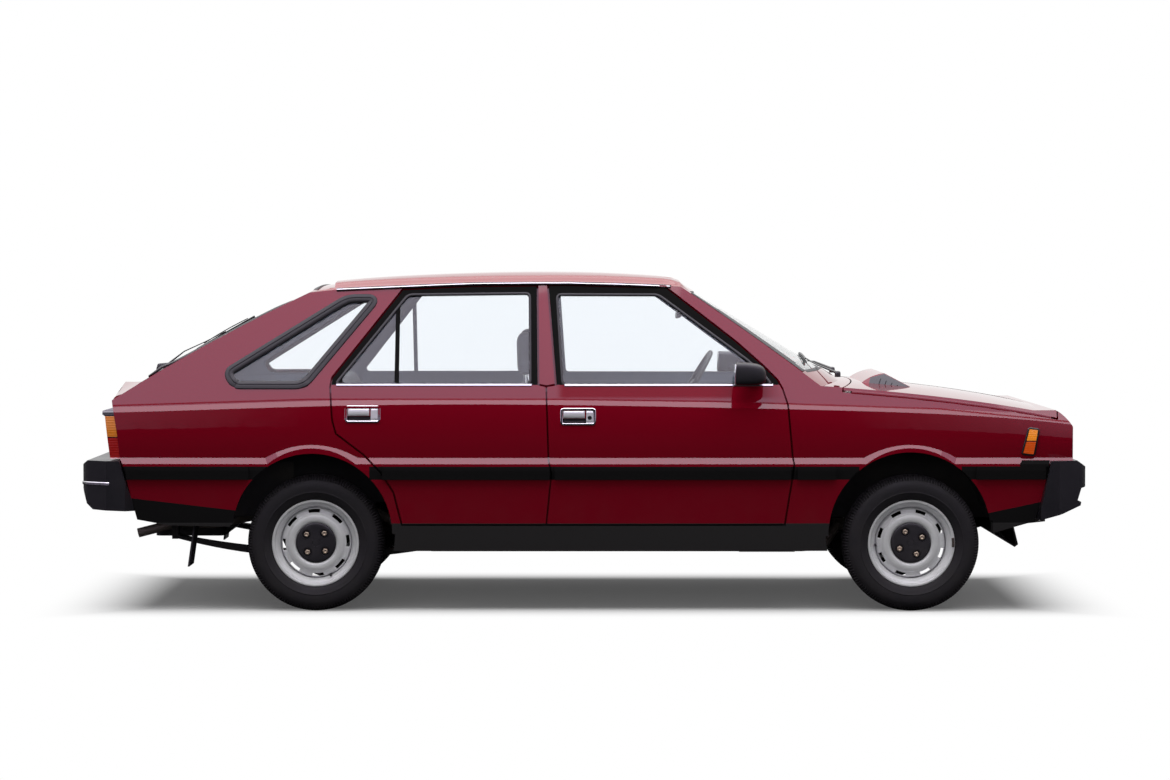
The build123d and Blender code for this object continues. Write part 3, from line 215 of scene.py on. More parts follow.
# %% Lamps
def area_light(name, place, target, size, power):
    """One soft rectangular lamp."""
    data = bpy.data.lights.new(name, "AREA")
    data.shape, data.size, data.size_y, data.energy = "RECTANGLE", size[0], size[1], power
    lamp = bpy.data.objects.new(name, data)
    lamp.location = place
    lamp.rotation_euler = (Vector(target) - Vector(place)).to_track_quat("-Z", "Y").to_euler()
    bpy.context.scene.collection.objects.link(lamp)
    return lamp


area_light("overhead_softbox", (0, -0.8, 5.2), (0, 0, 0), (9.0, 7.0), 400)
fill = area_light("side_fill", (0, -7.0, 1.6), (0, 0, 0.6), (8.0, 2.2), 42)
fill.visible_glossy = False
print("one wide lamp above the car and a weak fill beside it")

# %% [markdown]
# ## Shared effects
# Three effects return in many finishes. *Grain* is a fine bump of two noise sizes, for moulded plastic, rubber
# and cast metal. *Grime* is a soft patchy mask that grows stronger towards the road, for dust and wear. *Blend*
# of finishes by place is a mask from the car's own coordinates: a panel is painted outside, but its inside is
# covered with trim, and the sill is black. All are node groups, built once.

# %% Grain group
grain, g_in, g_out = shader_group("grain", [("Scale", "Float", 900.0), ("Strength", "Float", 0.2)],
                                  [("Height", "Float")])
where = node(grain, "ShaderNodeTexCoord")
fine = node(grain, "ShaderNodeTexNoise", Detail=3.0)
coarse = node(grain, "ShaderNodeTexNoise", Detail=2.0)
grain.links.new(where.outputs["Object"], fine.inputs["Vector"])
grain.links.new(where.outputs["Object"], coarse.inputs["Vector"])
grain.links.new(g_in.outputs["Scale"], fine.inputs["Scale"])
grain.links.new(math_node(grain, "MULTIPLY", g_in.outputs["Scale"], 0.17), coarse.inputs["Scale"])
both = math_node(grain, "ADD", fine.outputs["Fac"], coarse.outputs["Fac"])
grain.links.new(math_node(grain, "MULTIPLY", both, g_in.outputs["Strength"]), g_out.inputs["Height"])

# %% Grime group
grime, g_in, g_out = shader_group("grime", [("Scale", "Float", 6.0), ("Low Z", "Float", 0.15),
                                            ("High Z", "Float", 0.7), ("Everywhere", "Float", 0.15)],
                                  [("Mask", "Float")])
where = node(grime, "ShaderNodeTexCoord")
place = node(grime, "ShaderNodeSeparateXYZ")
patches = node(grime, "ShaderNodeTexNoise", Detail=6.0, Roughness=0.65)
fall = node(grime, "ShaderNodeMapRange", To_Min=1.0, To_Max=0.0)
grime.links.new(where.outputs["Object"], patches.inputs["Vector"])
grime.links.new(where.outputs["Object"], place.inputs[0])
grime.links.new(g_in.outputs["Scale"], patches.inputs["Scale"])
grime.links.new(place.outputs["Z"], fall.inputs["Value"])
grime.links.new(g_in.outputs["Low Z"], fall.inputs["From Min"])
grime.links.new(g_in.outputs["High Z"], fall.inputs["From Max"])
low_down = math_node(grime, "MAXIMUM", fall.outputs[0], g_in.outputs["Everywhere"])
spotty = node(grime, "ShaderNodeMapRange", From_Min=0.35, From_Max=0.75)
grime.links.new(patches.outputs["Fac"], spotty.inputs["Value"])
grime.links.new(math_node(grime, "MULTIPLY", low_down, spotty.outputs[0]), g_out.inputs["Mask"])


# %% [markdown]
# The side of the car is one shape with several finishes. This group works out, from the place on the car alone,
# where the black rubbing strip, the black sill and valances and the window frames are, and which faces look
# inwards. Its third mask is painted shade: it takes the lacquer's gloss away along the crease of the flank and on
# the front door under its window, so that these places mirror less sky and look darker. Thin steps between limits
# become sums of sharp map ranges.

# %% Zone group
zones, g_in, g_out = shader_group("side_zones", [("Frame Z", "Float", 5.0)],
                                  [("Black", "Float"), ("Inside", "Float"), ("Painted Shade", "Float")])
where = node(zones, "ShaderNodeTexCoord")
place = node(zones, "ShaderNodeSeparateXYZ")
facing = node(zones, "ShaderNodeSeparateXYZ")
zones.links.new(where.outputs["Object"], place.inputs[0])
zones.links.new(where.outputs["Normal"], facing.inputs[0])
X, Y, Z = place.outputs["X"], place.outputs["Y"], place.outputs["Z"]


def above(value, limit):
    """1 where value is over limit, 0 where it is under it."""
    return math_node(zones, "GREATER_THAN", value, limit)


def between(value, low, high):
    return math_node(zones, "MULTIPLY", above(value, low), math_node(zones, "LESS_THAN", value, high))


def line_height(x1, z1, x2, z2):
    """Height of a slanted line over X, as a socket."""
    slope = (z2 - z1) / (x2 - x1)
    return math_node(zones, "ADD", math_node(zones, "MULTIPLY", X, slope), z1 - slope * x1)


def all_of(*masks):
    total = masks[0]
    for mask in masks[1:]:
        total = math_node(zones, "MULTIPLY", total, mask)
    return total


def any_of(*masks):
    total = masks[0]
    for mask in masks[1:]:
        total = math_node(zones, "MAXIMUM", total, mask)
    return total


side_y = math_node(zones, "ABSOLUTE", Y)
strip = all_of(between(Z, 0.5615, 0.6165), any_of(math_node(zones, "LESS_THAN", X, -1.315), between(X, -0.90, 1.150),
                                                  above(X, 1.578)))
end_cap = all_of(between(Z, 0.60, 0.645), above(X, 1.8235), above(side_y, 0.778))
sill = all_of(math_node(zones, "LESS_THAN", Z, 0.3765), between(X, -1.0, 1.22))
tail_valance = all_of(math_node(zones, "LESS_THAN", X, -1.3),
                      math_node(zones, "LESS_THAN", Z, line_height(-1.906, 0.483, -1.473, 0.432)))
front_valance = all_of(above(X, 1.5), math_node(zones, "LESS_THAN", Z, line_height(1.690, 0.418, 1.911, 0.465)))
window_frame = above(Z, g_in.outputs["Frame Z"])
black = any_of(strip, end_cap, sill, tail_valance, front_valance, window_frame)
zones.links.new(black, g_out.inputs["Black"])
outward = math_node(zones, "MULTIPLY", facing.outputs["Y"], math_node(zones, "SIGN", Y))
inward = all_of(math_node(zones, "LESS_THAN", outward, -0.25), above(side_y, 0.4))
lined = all_of(math_node(zones, "LESS_THAN", facing.outputs["Z"], -0.35), above(Z, 1.20))
zones.links.new(any_of(inward, lined), g_out.inputs["Inside"])
# painted shade: along the crease of the flank and on the front door under its window the lacquer's gloss is mostly
# taken away, so that these places mirror less sky and look darker
fold = line_height(-1.973, 0.870, -1.312, 0.8916)
for ends_ in ((-0.80, 0.897, -0.10, 0.8972), (-0.10, 0.897, 0.58, 0.888), (0.825, 0.879, 1.486, 0.8566),
              (1.486, 0.8566, 1.976, 0.808)):
    fold = math_node(zones, "MINIMUM", fold, line_height(*ends_))
near_fold = node(zones, "ShaderNodeMapRange", From_Min=0.0045, From_Max=0.0015)
zones.links.new(math_node(zones, "ABSOLUTE", math_node(zones, "SUBTRACT", Z, fold)), near_fold.inputs["Value"])
on_fold = math_node(zones, "MULTIPLY", near_fold.outputs[0], above(side_y, 0.6))
shaded_door_area = above(side_y, 0.6)
for axis, start, end in ((Z, 0.893, 0.912), (X, -0.125, -0.085), (X, 0.86, 0.70)):
    ramp = node(zones, "ShaderNodeMapRange", From_Min=start, From_Max=end, interpolation_type="SMOOTHSTEP")
    zones.links.new(axis, ramp.inputs["Value"])
    shaded_door_area = math_node(zones, "MULTIPLY", shaded_door_area, ramp.outputs[0])
door_shade = math_node(zones, "MULTIPLY", math_node(zones, "LESS_THAN", Z, 0.958), shaded_door_area)
zones.links.new(math_node(zones, "MAXIMUM", math_node(zones, "MULTIPLY", on_fold, 0.85),
                          math_node(zones, "MULTIPLY", door_shade, 0.72)), g_out.inputs["Painted Shade"])
print("zones, grain and grime groups are ready")

# %% [markdown]
# ## Paint
# The red is a colour coat under clear lacquer. The lacquer has a low index, so it mirrors less at a steep glance
# and more at a grazing one, as polished lacquer does. Tiny flakes are left out, because this is a solid colour.
# Dust lies low on the doors, the strip and sill are textured black, and what faces the cabin is grey trim. Shade is
# painted along the crease and on the front door, where the lacquer's gloss is mostly taken away.

# %% Paint
PAINT = (0.265, 0.0020, 0.0145)
TRIM_BLACK = (0.014, 0.0132, 0.0140)
SILL_BLACK = (0.046, 0.043, 0.045)
LINING = (0.145, 0.170, 0.225)


def paint_material(name, frame_z=5.0, lining=LINING):
    """Lacquered red with the black and inner zones of a side panel."""
    material, tree, shader = new_material(name)
    zone = use_group(tree, zones, Frame_Z=frame_z)
    dirt = use_group(tree, grime, Scale=5.0, Low_Z=0.20, High_Z=0.62, Everywhere=0.05)
    bump_grain = use_group(tree, grain, Scale=700.0, Strength=1.0)
    waves = node(tree, "ShaderNodeTexNoise", Scale=2.2, Detail=1.0)
    where = node(tree, "ShaderNodeTexCoord")
    tree.links.new(where.outputs["Object"], waves.inputs["Vector"])
    colour = node(tree, "ShaderNodeMix", data_type="RGBA")
    colour.inputs["A"].default_value = rgba(PAINT)
    colour.inputs["B"].default_value = (0.16, 0.10, 0.085, 1)
    tree.links.new(math_node(tree, "MULTIPLY", dirt.outputs["Mask"], 0.16), colour.inputs["Factor"])
    place = node(tree, "ShaderNodeSeparateXYZ")
    tree.links.new(where.outputs["Object"], place.inputs[0])
    blacks = node(tree, "ShaderNodeMix", data_type="RGBA")
    blacks.inputs["A"].default_value = rgba(TRIM_BLACK)
    blacks.inputs["B"].default_value = rgba(SILL_BLACK)
    tree.links.new(math_node(tree, "LESS_THAN", place.outputs["Z"], 0.378), blacks.inputs["Factor"])
    blacked = node(tree, "ShaderNodeMix", data_type="RGBA")
    tree.links.new(blacks.outputs["Result"], blacked.inputs["B"])
    tree.links.new(colour.outputs["Result"], blacked.inputs["A"])
    tree.links.new(zone.outputs["Black"], blacked.inputs["Factor"])
    lined = node(tree, "ShaderNodeMix", data_type="RGBA")
    lined.inputs["B"].default_value = rgba(lining)
    tree.links.new(blacked.outputs["Result"], lined.inputs["A"])
    tree.links.new(zone.outputs["Inside"], lined.inputs["Factor"])
    tree.links.new(lined.outputs["Result"], shader.inputs["Base Color"])
    dull = math_node(tree, "MAXIMUM", zone.outputs["Black"], zone.outputs["Inside"])
    # painted shade: the zones' shade mask takes the lacquer away along the crease and on the front door, which darkens
    # them
    gloss = math_node(tree, "SUBTRACT", 1.0, math_node(tree, "MAXIMUM", dull, zone.outputs["Painted Shade"]))
    tree.links.new(math_node(tree, "MULTIPLY", gloss, math_node(tree, "SUBTRACT", 1.0,
                   math_node(tree, "MULTIPLY", dirt.outputs["Mask"], 0.5))), shader.inputs["Coat Weight"])
    rough = node(tree, "ShaderNodeMapRange", To_Min=0.34, To_Max=0.62)
    tree.links.new(dull, rough.inputs["Value"])
    tree.links.new(rough.outputs[0], shader.inputs["Roughness"])
    shader.inputs["Specular IOR Level"].default_value = 0.0
    shader.inputs["Coat IOR"].default_value = 1.50
    shader.inputs["Coat Roughness"].default_value = 0.035
    texture = math_node(tree, "MULTIPLY", bump_grain.outputs["Height"], dull)
    height = math_node(tree, "ADD", texture, math_node(tree, "MULTIPLY", waves.outputs["Fac"], 0.6))
    bump = node(tree, "ShaderNodeBump", Strength=0.22, Distance=0.001)
    tree.links.new(height, bump.inputs["Height"])
    tree.links.new(bump.outputs[0], shader.inputs["Normal"])
    return material


body_paint = paint_material("body_paint")
door_paint = paint_material("door_paint", frame_z=0.957)
lid_paint = paint_material("lid_paint")
print("three red paints")

# %% [markdown]
# ## Plastics, rubber and metals
# Most of the other finishes differ only in colour, roughness, grain and dust, so one function makes them all. A
# moulded plastic has a visible grain and greys where it is dusty. Rubber is darker and duller. Steel parts under
# the car are dull, with patches of road dirt.


# %% Plain finishes
def finish_material(name, colour, roughness, grain_scale=900.0, grain_depth=0.25, dust=(0.20, 0.18, 0.155),
                    dust_amount=0.25, low=0.0, high=0.6, everywhere=0.1, metal=0.0, specular=0.5, coat=0.0,
                    patch=6.0):
    """A grained finish in one colour that carries dust low down."""
    material, tree, shader = new_material(name)
    dirt = use_group(tree, grime, Scale=patch, Low_Z=low, High_Z=high, Everywhere=everywhere)
    fine = use_group(tree, grain, Scale=grain_scale, Strength=1.0)
    colour_mix = node(tree, "ShaderNodeMix", data_type="RGBA")
    colour_mix.inputs["A"].default_value = rgba(colour)
    colour_mix.inputs["B"].default_value = rgba(dust)
    tree.links.new(math_node(tree, "MULTIPLY", dirt.outputs["Mask"], dust_amount), colour_mix.inputs["Factor"])
    tree.links.new(colour_mix.outputs["Result"], shader.inputs["Base Color"])
    rough = node(tree, "ShaderNodeMapRange", To_Min=roughness, To_Max=min(1.0, roughness + 0.3))
    tree.links.new(dirt.outputs["Mask"], rough.inputs["Value"])
    tree.links.new(rough.outputs[0], shader.inputs["Roughness"])
    shader.inputs["Metallic"].default_value = metal
    shader.inputs["Specular IOR Level"].default_value = specular
    if coat:
        shader.inputs["Coat Weight"].default_value = coat
        shader.inputs["Coat Roughness"].default_value = 0.08
    bump = node(tree, "ShaderNodeBump", Strength=grain_depth, Distance=0.0006)
    tree.links.new(fine.outputs["Height"], bump.inputs["Height"])
    tree.links.new(bump.outputs[0], shader.inputs["Normal"])
    return material


moulded_black = finish_material("moulded_black", (0.011, 0.011, 0.0125), 0.42, 1100, 0.30, dust_amount=0.12,
                                specular=0.4)
bumper_black = finish_material("bumper_black", (0.008, 0.008, 0.010), 0.30, 700, 0.22, dust_amount=0.08,
                               everywhere=0.25)
satin_black = finish_material("satin_black", (0.012, 0.012, 0.013), 0.30, 1500, 0.10, dust_amount=0.08)
gasket_rubber = finish_material("gasket_rubber", (0.010, 0.010, 0.011), 0.55, 1300, 0.15, dust_amount=0.15)
tread_rubber = finish_material("tread_rubber", (0.0135, 0.0128, 0.0138), 0.62, 420, 0.55,
                               dust=(0.060, 0.056, 0.052), dust_amount=0.35, everywhere=0.55, patch=9.0,
                               specular=0.25)
wheel_silver = finish_material("wheel_silver", (0.86, 0.86, 0.88), 0.34, 1400, 0.12, dust=(0.30, 0.27, 0.24),
                               dust_amount=0.30, everywhere=0.55, metal=0.0, patch=11.0, coat=0.3)
bright_metal = finish_material("bright_metal", (0.80, 0.80, 0.81), 0.13, 1800, 0.03, dust_amount=0.06, metal=1.0)
brushed_metal = finish_material("brushed_metal", (0.62, 0.62, 0.63), 0.24, 1500, 0.08, dust_amount=0.15, metal=1.0)
zinc = finish_material("zinc_bolts", (0.62, 0.53, 0.36), 0.32, 900, 0.15, dust_amount=0.25, everywhere=0.5,
                       metal=0.9)
road_steel = finish_material("road_steel", (0.085, 0.075, 0.068), 0.55, 260, 0.6, dust=(0.10, 0.07, 0.045),
                             dust_amount=0.6, everywhere=0.8, metal=0.6, patch=14.0)
exhaust_steel = finish_material("exhaust_steel", (0.34, 0.30, 0.27), 0.45, 300, 0.5, dust=(0.16, 0.10, 0.06),
                                dust_amount=0.6, everywhere=0.8, metal=0.6, patch=12.0)
satin_chrome = finish_material("satin_chrome", (0.80, 0.80, 0.82), 0.34, 1600, 0.05, dust_amount=0.06, metal=0.45)
floor_coating = finish_material("floor_coating", (0.020, 0.020, 0.022), 0.75, 200, 0.7, dust=(0.10, 0.085, 0.07),
                                dust_amount=0.45, everywhere=0.7, patch=5.0)
cast_engine = finish_material("cast_engine", (0.15, 0.15, 0.155), 0.55, 320, 0.7, dust=(0.05, 0.04, 0.03),
                              dust_amount=0.6, everywhere=0.8, metal=0.5, patch=12.0)
cabin_plastic = finish_material("cabin_plastic", (0.075, 0.083, 0.105), 0.55, 800, 0.4, dust_amount=0.05)
seat_plastic = finish_material("seat_plastic", (0.055, 0.058, 0.068), 0.5, 900, 0.35, dust_amount=0.05)
print("plain finishes made")

# %% [markdown]
# ## Glass
# Window glass is nearly clear with a faint green cast and is thin, so it is made of two clean surfaces with real
# transmission. A light film of dust would only grey it, so it gets the faintest roughness instead.

# %% Glass
window_glass, tree, shader = new_material("window_glass")
shader.inputs["Base Color"].default_value = (0.925, 0.955, 0.97, 1)
shader.inputs["Transmission Weight"].default_value = 1.0
shader.inputs["IOR"].default_value = 1.45
film = node(tree, "ShaderNodeTexNoise", Scale=3.0, Detail=4.0)
where = node(tree, "ShaderNodeTexCoord")
tree.links.new(where.outputs["Object"], film.inputs["Vector"])
dusty = node(tree, "ShaderNodeMapRange", From_Min=0.45, From_Max=0.8, To_Min=0.0, To_Max=0.05)
tree.links.new(film.outputs["Fac"], dusty.inputs["Value"])
tree.links.new(dusty.outputs[0], shader.inputs["Roughness"])

# %% [markdown]
# Lamp lenses are moulded in clear or coloured plastic with ribs or small prisms on the inner face. They are seen
# as ribs of light, so a wave drives a bump. A little of the colour glows as painted light, standing in for the
# light that the reflector sends back through the lens.


# %% Lamp lenses
def lens_material(name, colour, rib_scale, rib_axis="Z", painted_glow=0.0, clear=0.0, bands=None):
    """Ribbed lamp plastic. bands gives (height, colour below it, foot of the black cap) for a lamp in two colours."""
    material, tree, shader = new_material(name)
    where = node(tree, "ShaderNodeTexCoord")
    ribs = node(tree, "ShaderNodeTexWave", Scale=rib_scale, bands_direction=rib_axis, wave_profile="SIN")
    tree.links.new(where.outputs["Object"], ribs.inputs["Vector"])
    if bands:
        place = node(tree, "ShaderNodeSeparateXYZ")
        tree.links.new(where.outputs["Object"], place.inputs[0])
        mix = node(tree, "ShaderNodeMix", data_type="RGBA")
        mix.inputs["A"].default_value = rgba(bands[1])
        mix.inputs["B"].default_value = rgba(colour)
        tree.links.new(math_node(tree, "GREATER_THAN", place.outputs["Z"], bands[0]), mix.inputs["Factor"])
        seam = math_node(tree, "LESS_THAN", math_node(tree, "ABSOLUTE", math_node(tree, "SUBTRACT",
                         place.outputs["Z"], bands[0])), 0.0022)
        black = math_node(tree, "MAXIMUM", seam, math_node(tree, "GREATER_THAN", place.outputs["Z"], bands[2]))
        cased = node(tree, "ShaderNodeMix", data_type="RGBA")
        cased.inputs["B"].default_value = rgba(TRIM_BLACK)
        tree.links.new(mix.outputs["Result"], cased.inputs["A"])
        tree.links.new(black, cased.inputs["Factor"])
        result = cased.outputs["Result"]
    else:
        flat = node(tree, "ShaderNodeMix", data_type="RGBA")
        flat.inputs["A"].default_value = rgba(colour)
        flat.inputs["B"].default_value = rgba(tuple(c * 0.7 for c in colour))
        tree.links.new(ribs.outputs["Fac"], flat.inputs["Factor"])
        result = flat.outputs["Result"]
    tree.links.new(result, shader.inputs["Base Color"])
    # painted light: the lens glows with a little of its own colour, though the lamp is not lit
    if painted_glow:
        tree.links.new(result, shader.inputs["Emission Color"])
        shader.inputs["Emission Strength"].default_value = painted_glow
    shader.inputs["Transmission Weight"].default_value = clear
    shader.inputs["Roughness"].default_value = 0.12
    shader.inputs["Coat Weight"].default_value = 1.0 if not clear else 0.0
    shader.inputs["Coat Roughness"].default_value = 0.03
    bump = node(tree, "ShaderNodeBump", Strength=0.35, Distance=0.002)
    tree.links.new(ribs.outputs["Fac"], bump.inputs["Height"])
    tree.links.new(bump.outputs[0], shader.inputs["Normal"])
    return material


headlamp_glass = lens_material("headlamp_glass", (0.93, 0.95, 0.96), 40, "Y", clear=0.9)
indicator_lens = lens_material("indicator_lens", (1.0, 0.30, 0.010), 42, "Z", painted_glow=0.30,
                               bands=(0.722, (0.70, 0.085, 0.004), 9.0))
tail_lens = lens_material("tail_lens", (0.85, 0.25, 0.02), 30, "Z", painted_glow=0.08,
                          bands=(0.7385, (0.45, 0.010, 0.010), 0.826))

# %% [markdown]
# ## Cloth
# The seats wear a blue-grey woven cloth. Its weave is a fine crossing of two waves, broken by noise, and the cloth
# has some sheen at a glancing view.

# %% Weave group
weave, g_in, g_out = shader_group("weave", [("Scale", "Float", 300.0), ("Fray", "Float", 0.4)],
                                  [("Height", "Float"), ("Variation", "Float")])
where = node(weave, "ShaderNodeTexCoord")
warp = node(weave, "ShaderNodeTexWave", bands_direction="X", Distortion=0.6, Detail=1.0)
weft = node(weave, "ShaderNodeTexWave", bands_direction="Z", Distortion=0.6, Detail=1.0)
cross = node(weave, "ShaderNodeTexWave", bands_direction="Y", Distortion=0.6, Detail=1.0)
soft = node(weave, "ShaderNodeTexNoise", Scale=14.0, Detail=5.0)
for made in (warp, weft, cross, soft):
    weave.links.new(where.outputs["Object"], made.inputs["Vector"])
for made in (warp, weft, cross):
    weave.links.new(g_in.outputs["Scale"], made.inputs["Scale"])
threads = math_node(weave, "ADD", math_node(weave, "ADD", warp.outputs["Fac"], weft.outputs["Fac"]),
                    cross.outputs["Fac"])
weave.links.new(math_node(weave, "ADD", threads, math_node(weave, "MULTIPLY", soft.outputs["Fac"],
                                                           g_in.outputs["Fray"])), g_out.inputs["Height"])
weave.links.new(soft.outputs["Fac"], g_out.inputs["Variation"])


# %% Cloth materials
def cloth_material(name, colour, worn, scale, depth=0.35):
    """Woven cloth with sheen and soft colour variation."""
    material, tree, shader = new_material(name)
    threads = use_group(tree, weave, Scale=scale, Fray=0.5)
    mix = node(tree, "ShaderNodeMix", data_type="RGBA")
    mix.inputs["A"].default_value = rgba(colour)
    mix.inputs["B"].default_value = rgba(worn)
    tree.links.new(threads.outputs["Variation"], mix.inputs["Factor"])
    tree.links.new(mix.outputs["Result"], shader.inputs["Base Color"])
    shader.inputs["Roughness"].default_value = 0.85
    shader.inputs["Sheen Weight"].default_value = 0.35
    shader.inputs["Sheen Roughness"].default_value = 0.4
    bump = node(tree, "ShaderNodeBump", Strength=depth, Distance=0.0015)
    tree.links.new(threads.outputs["Height"], bump.inputs["Height"])
    tree.links.new(bump.outputs[0], shader.inputs["Normal"])
    return material


seat_cloth = cloth_material("seat_cloth", (0.060, 0.065, 0.082), (0.085, 0.092, 0.115), 260.0)
print("glass, lamps and cloth made")

# %% [markdown]
# ## Finish for every CAD piece
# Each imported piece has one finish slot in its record. Panels of the side have their own paint, because their
# window frames are black above the belt line. The floor pan is coated below and carpeted above, by which way it
# faces.

# %% Carpet above, coating below
floor_pan_finish, tree, shader = new_material("floor_pan_finish")
where = node(tree, "ShaderNodeTexCoord")
facing = node(tree, "ShaderNodeSeparateXYZ")
place = node(tree, "ShaderNodeSeparateXYZ")
tree.links.new(where.outputs["Normal"], facing.inputs[0])
tree.links.new(where.outputs["Object"], place.inputs[0])
upward = math_node(tree, "MULTIPLY", math_node(tree, "GREATER_THAN", facing.outputs["Z"], 0.2),
                   math_node(tree, "GREATER_THAN", place.outputs["Z"], 0.26))
threads = use_group(tree, weave, Scale=140.0, Fray=0.8)
mix = node(tree, "ShaderNodeMix", data_type="RGBA")
mix.inputs["A"].default_value = (0.020, 0.020, 0.022, 1)
mix.inputs["B"].default_value = (0.030, 0.032, 0.040, 1)
tree.links.new(upward, mix.inputs["Factor"])
tree.links.new(mix.outputs["Result"], shader.inputs["Base Color"])
shader.inputs["Roughness"].default_value = 0.85
bump = node(tree, "ShaderNodeBump", Strength=0.4, Distance=0.002)
tree.links.new(threads.outputs["Height"], bump.inputs["Height"])
tree.links.new(bump.outputs[0], shader.inputs["Normal"])

# %% Assign the finishes
by_slot = {"paint": body_paint, "glass": window_glass, "black_plastic": moulded_black, "steel": road_steel,
           "wheel_silver": wheel_silver, "rubber": tread_rubber, "underbody": floor_coating,
           "lamp_glass": headlamp_glass, "lamp_red": tail_lens, "lamp_amber": indicator_lens, "fabric": seat_cloth,
           "engine": cast_engine}
by_node = {"front_bumper": bumper_black, "rear_bumper": bumper_black, "floor_pan": floor_pan_finish,
           "bonnet": lid_paint, "tailgate": lid_paint, "dashboard": cabin_plastic, "steering_wheel": satin_black,
           "mud_flaps": gasket_rubber, "exhaust": exhaust_steel, "wipers": satin_black, "rear_seat": seat_cloth}
for side in ("left", "right"):
    by_node["front_door_" + side] = by_node["rear_door_" + side] = door_paint
for part in frame["record"]["subparts"]:
    skin = nodes[part["node"]]
    skin.data.materials.clear()
    skin.data.materials.append(by_node.get(part["node"], by_slot[part["material_slot"]]))

# %% [markdown]
# ## Helpers for pieces
# A mesh piece is a list of corners and faces with one finish, made once and then fixed to the body that carries
# it. `lathe` turns a profile about a wheel's axle, `sweep` carries a section along a path, and `rounded` rounds
# the corners of an outline, as a sheet-metal edge or a rubber seal is rounded.


# %% Mesh, lathe and sweep
def piece(name, verts, faces, finish, body, smooth=35.0, bevel=0.0, replaces=()):
    """A mesh object that rides on a body. smooth is the angle over which edges stay sharp."""
    mesh = bpy.data.meshes.new(name)
    work = bmesh.new()
    corners = [work.verts.new(v) for v in verts]
    for face in faces:
        try:
            work.faces.new([corners[i] for i in face])
        except ValueError:
            pass
    bmesh.ops.recalc_face_normals(work, faces=work.faces)
    work.to_mesh(mesh)
    work.free()
    made = bpy.data.objects.new(name, mesh)
    bpy.context.scene.collection.objects.link(made)
    made.data.materials.append(finish)
    if bevel:
        edge = made.modifiers.new("edges", "BEVEL")
        edge.width, edge.segments, edge.limit_method, edge.angle_limit = bevel, 2, "ANGLE", math.radians(35)
    made.data.polygons.foreach_set("use_smooth", [True] * len(made.data.polygons))
    if smooth < 180 and not bevel:
        made.data.set_sharp_from_angle(angle=math.radians(smooth))
    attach(made, body)
    if replaces:
        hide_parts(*replaces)
    return made


def lathe(name, profile, steps, centre, side, finish, body, dent=None, leave_out=None, closed=False, **more):
    """Turns (radius, outward) pairs about an axle. dent may shift a corner, leave_out may open a face."""
    verts, faces = [], []
    for i in range(steps):
        angle = 2 * math.pi * i / steps
        for j, (radius, outward) in enumerate(profile):
            if dent:
                radius, outward = dent(i, j, radius, outward)
            verts.append((centre[0] + radius * math.cos(angle), centre[1] + side * outward,
                          centre[2] + radius * math.sin(angle)))
    rows = len(profile)
    for i in range(steps):
        for j in range(rows if closed else rows - 1):
            if leave_out and leave_out(i, j):
                continue
            a, b = i * rows + j, i * rows + (j + 1) % rows
            c, d = ((i + 1) % steps) * rows + (j + 1) % rows, ((i + 1) % steps) * rows + j
            faces.append((a, b, c, d))
    return piece(name, verts, faces, finish, body, **more)


def rounded(points, radius, steps=5, closed=True):
    """An outline with each corner cut by an arc-like curve."""
    result = []
    count = len(points)
    for i, here in enumerate(points):
        here = Vector(here)
        if not closed and i in (0, count - 1):
            result.append(tuple(here))
            continue
        before, after = Vector(points[i - 1]), Vector(points[(i + 1) % count])
        reach = min(radius, (before - here).length * 0.45, (after - here).length * 0.45)
        start = here + (before - here).normalized() * reach
        end = here + (after - here).normalized() * reach
        for k in range(steps + 1):
            t = k / steps
            result.append(tuple(start.lerp(here, t).lerp(here.lerp(end, t), t)))
    return result


def sweep(name, path, section, outward, finish, body, closed=True, **more):
    """Carries a section of (across, out) pairs along a path. outward gives the surface's direction at a point."""
    verts, faces = [], []
    count, wide = len(path), len(section)
    for i, point in enumerate(path):
        here = Vector(point)
        before = Vector(path[i - 1]) if closed or i else here
        after = Vector(path[(i + 1) % count]) if closed or i < count - 1 else here
        ahead = (after - before).normalized()
        out = Vector(outward(here) if callable(outward) else outward).normalized()
        across = out.cross(ahead).normalized()
        out = ahead.cross(across).normalized()
        # keep the width true where two runs meet at a corner
        if (here - before).length > 1e-6 and (after - here).length > 1e-6:
            half = max(0.45, math.sqrt(max(0.0, (1 + (here - before).normalized().dot(
                (after - here).normalized())) / 2)))
        else:
            half = 1.0
        for a, o in section:
            verts.append(tuple(here + across * (a / half) + out * o))
    for i in range(count if closed else count - 1):
        for j in range(wide):
            faces.append((i * wide + j, i * wide + (j + 1) % wide, ((i + 1) % count) * wide + (j + 1) % wide,
                          ((i + 1) % count) * wide + j))
    if not closed:
        faces.append(tuple(range(wide)))
        faces.append(tuple(range((count - 1) * wide, count * wide)))
    return piece(name, verts, faces, finish, body, **more)


print("helpers for pieces ready")

# %% [markdown]
# ## Tyres
# A narrow radial tyre of the time: upright walls with fine moulded rings, a rounded shoulder, and a tread of small
# blocks. The grooves matter most at the shoulder, which shows above the wheel. The tyre is turned from a profile,
# and every third step of the shoulder rows is pushed in, which cuts the cross grooves. Four rings of the profile
# are low, which cuts the grooves round the tyre.

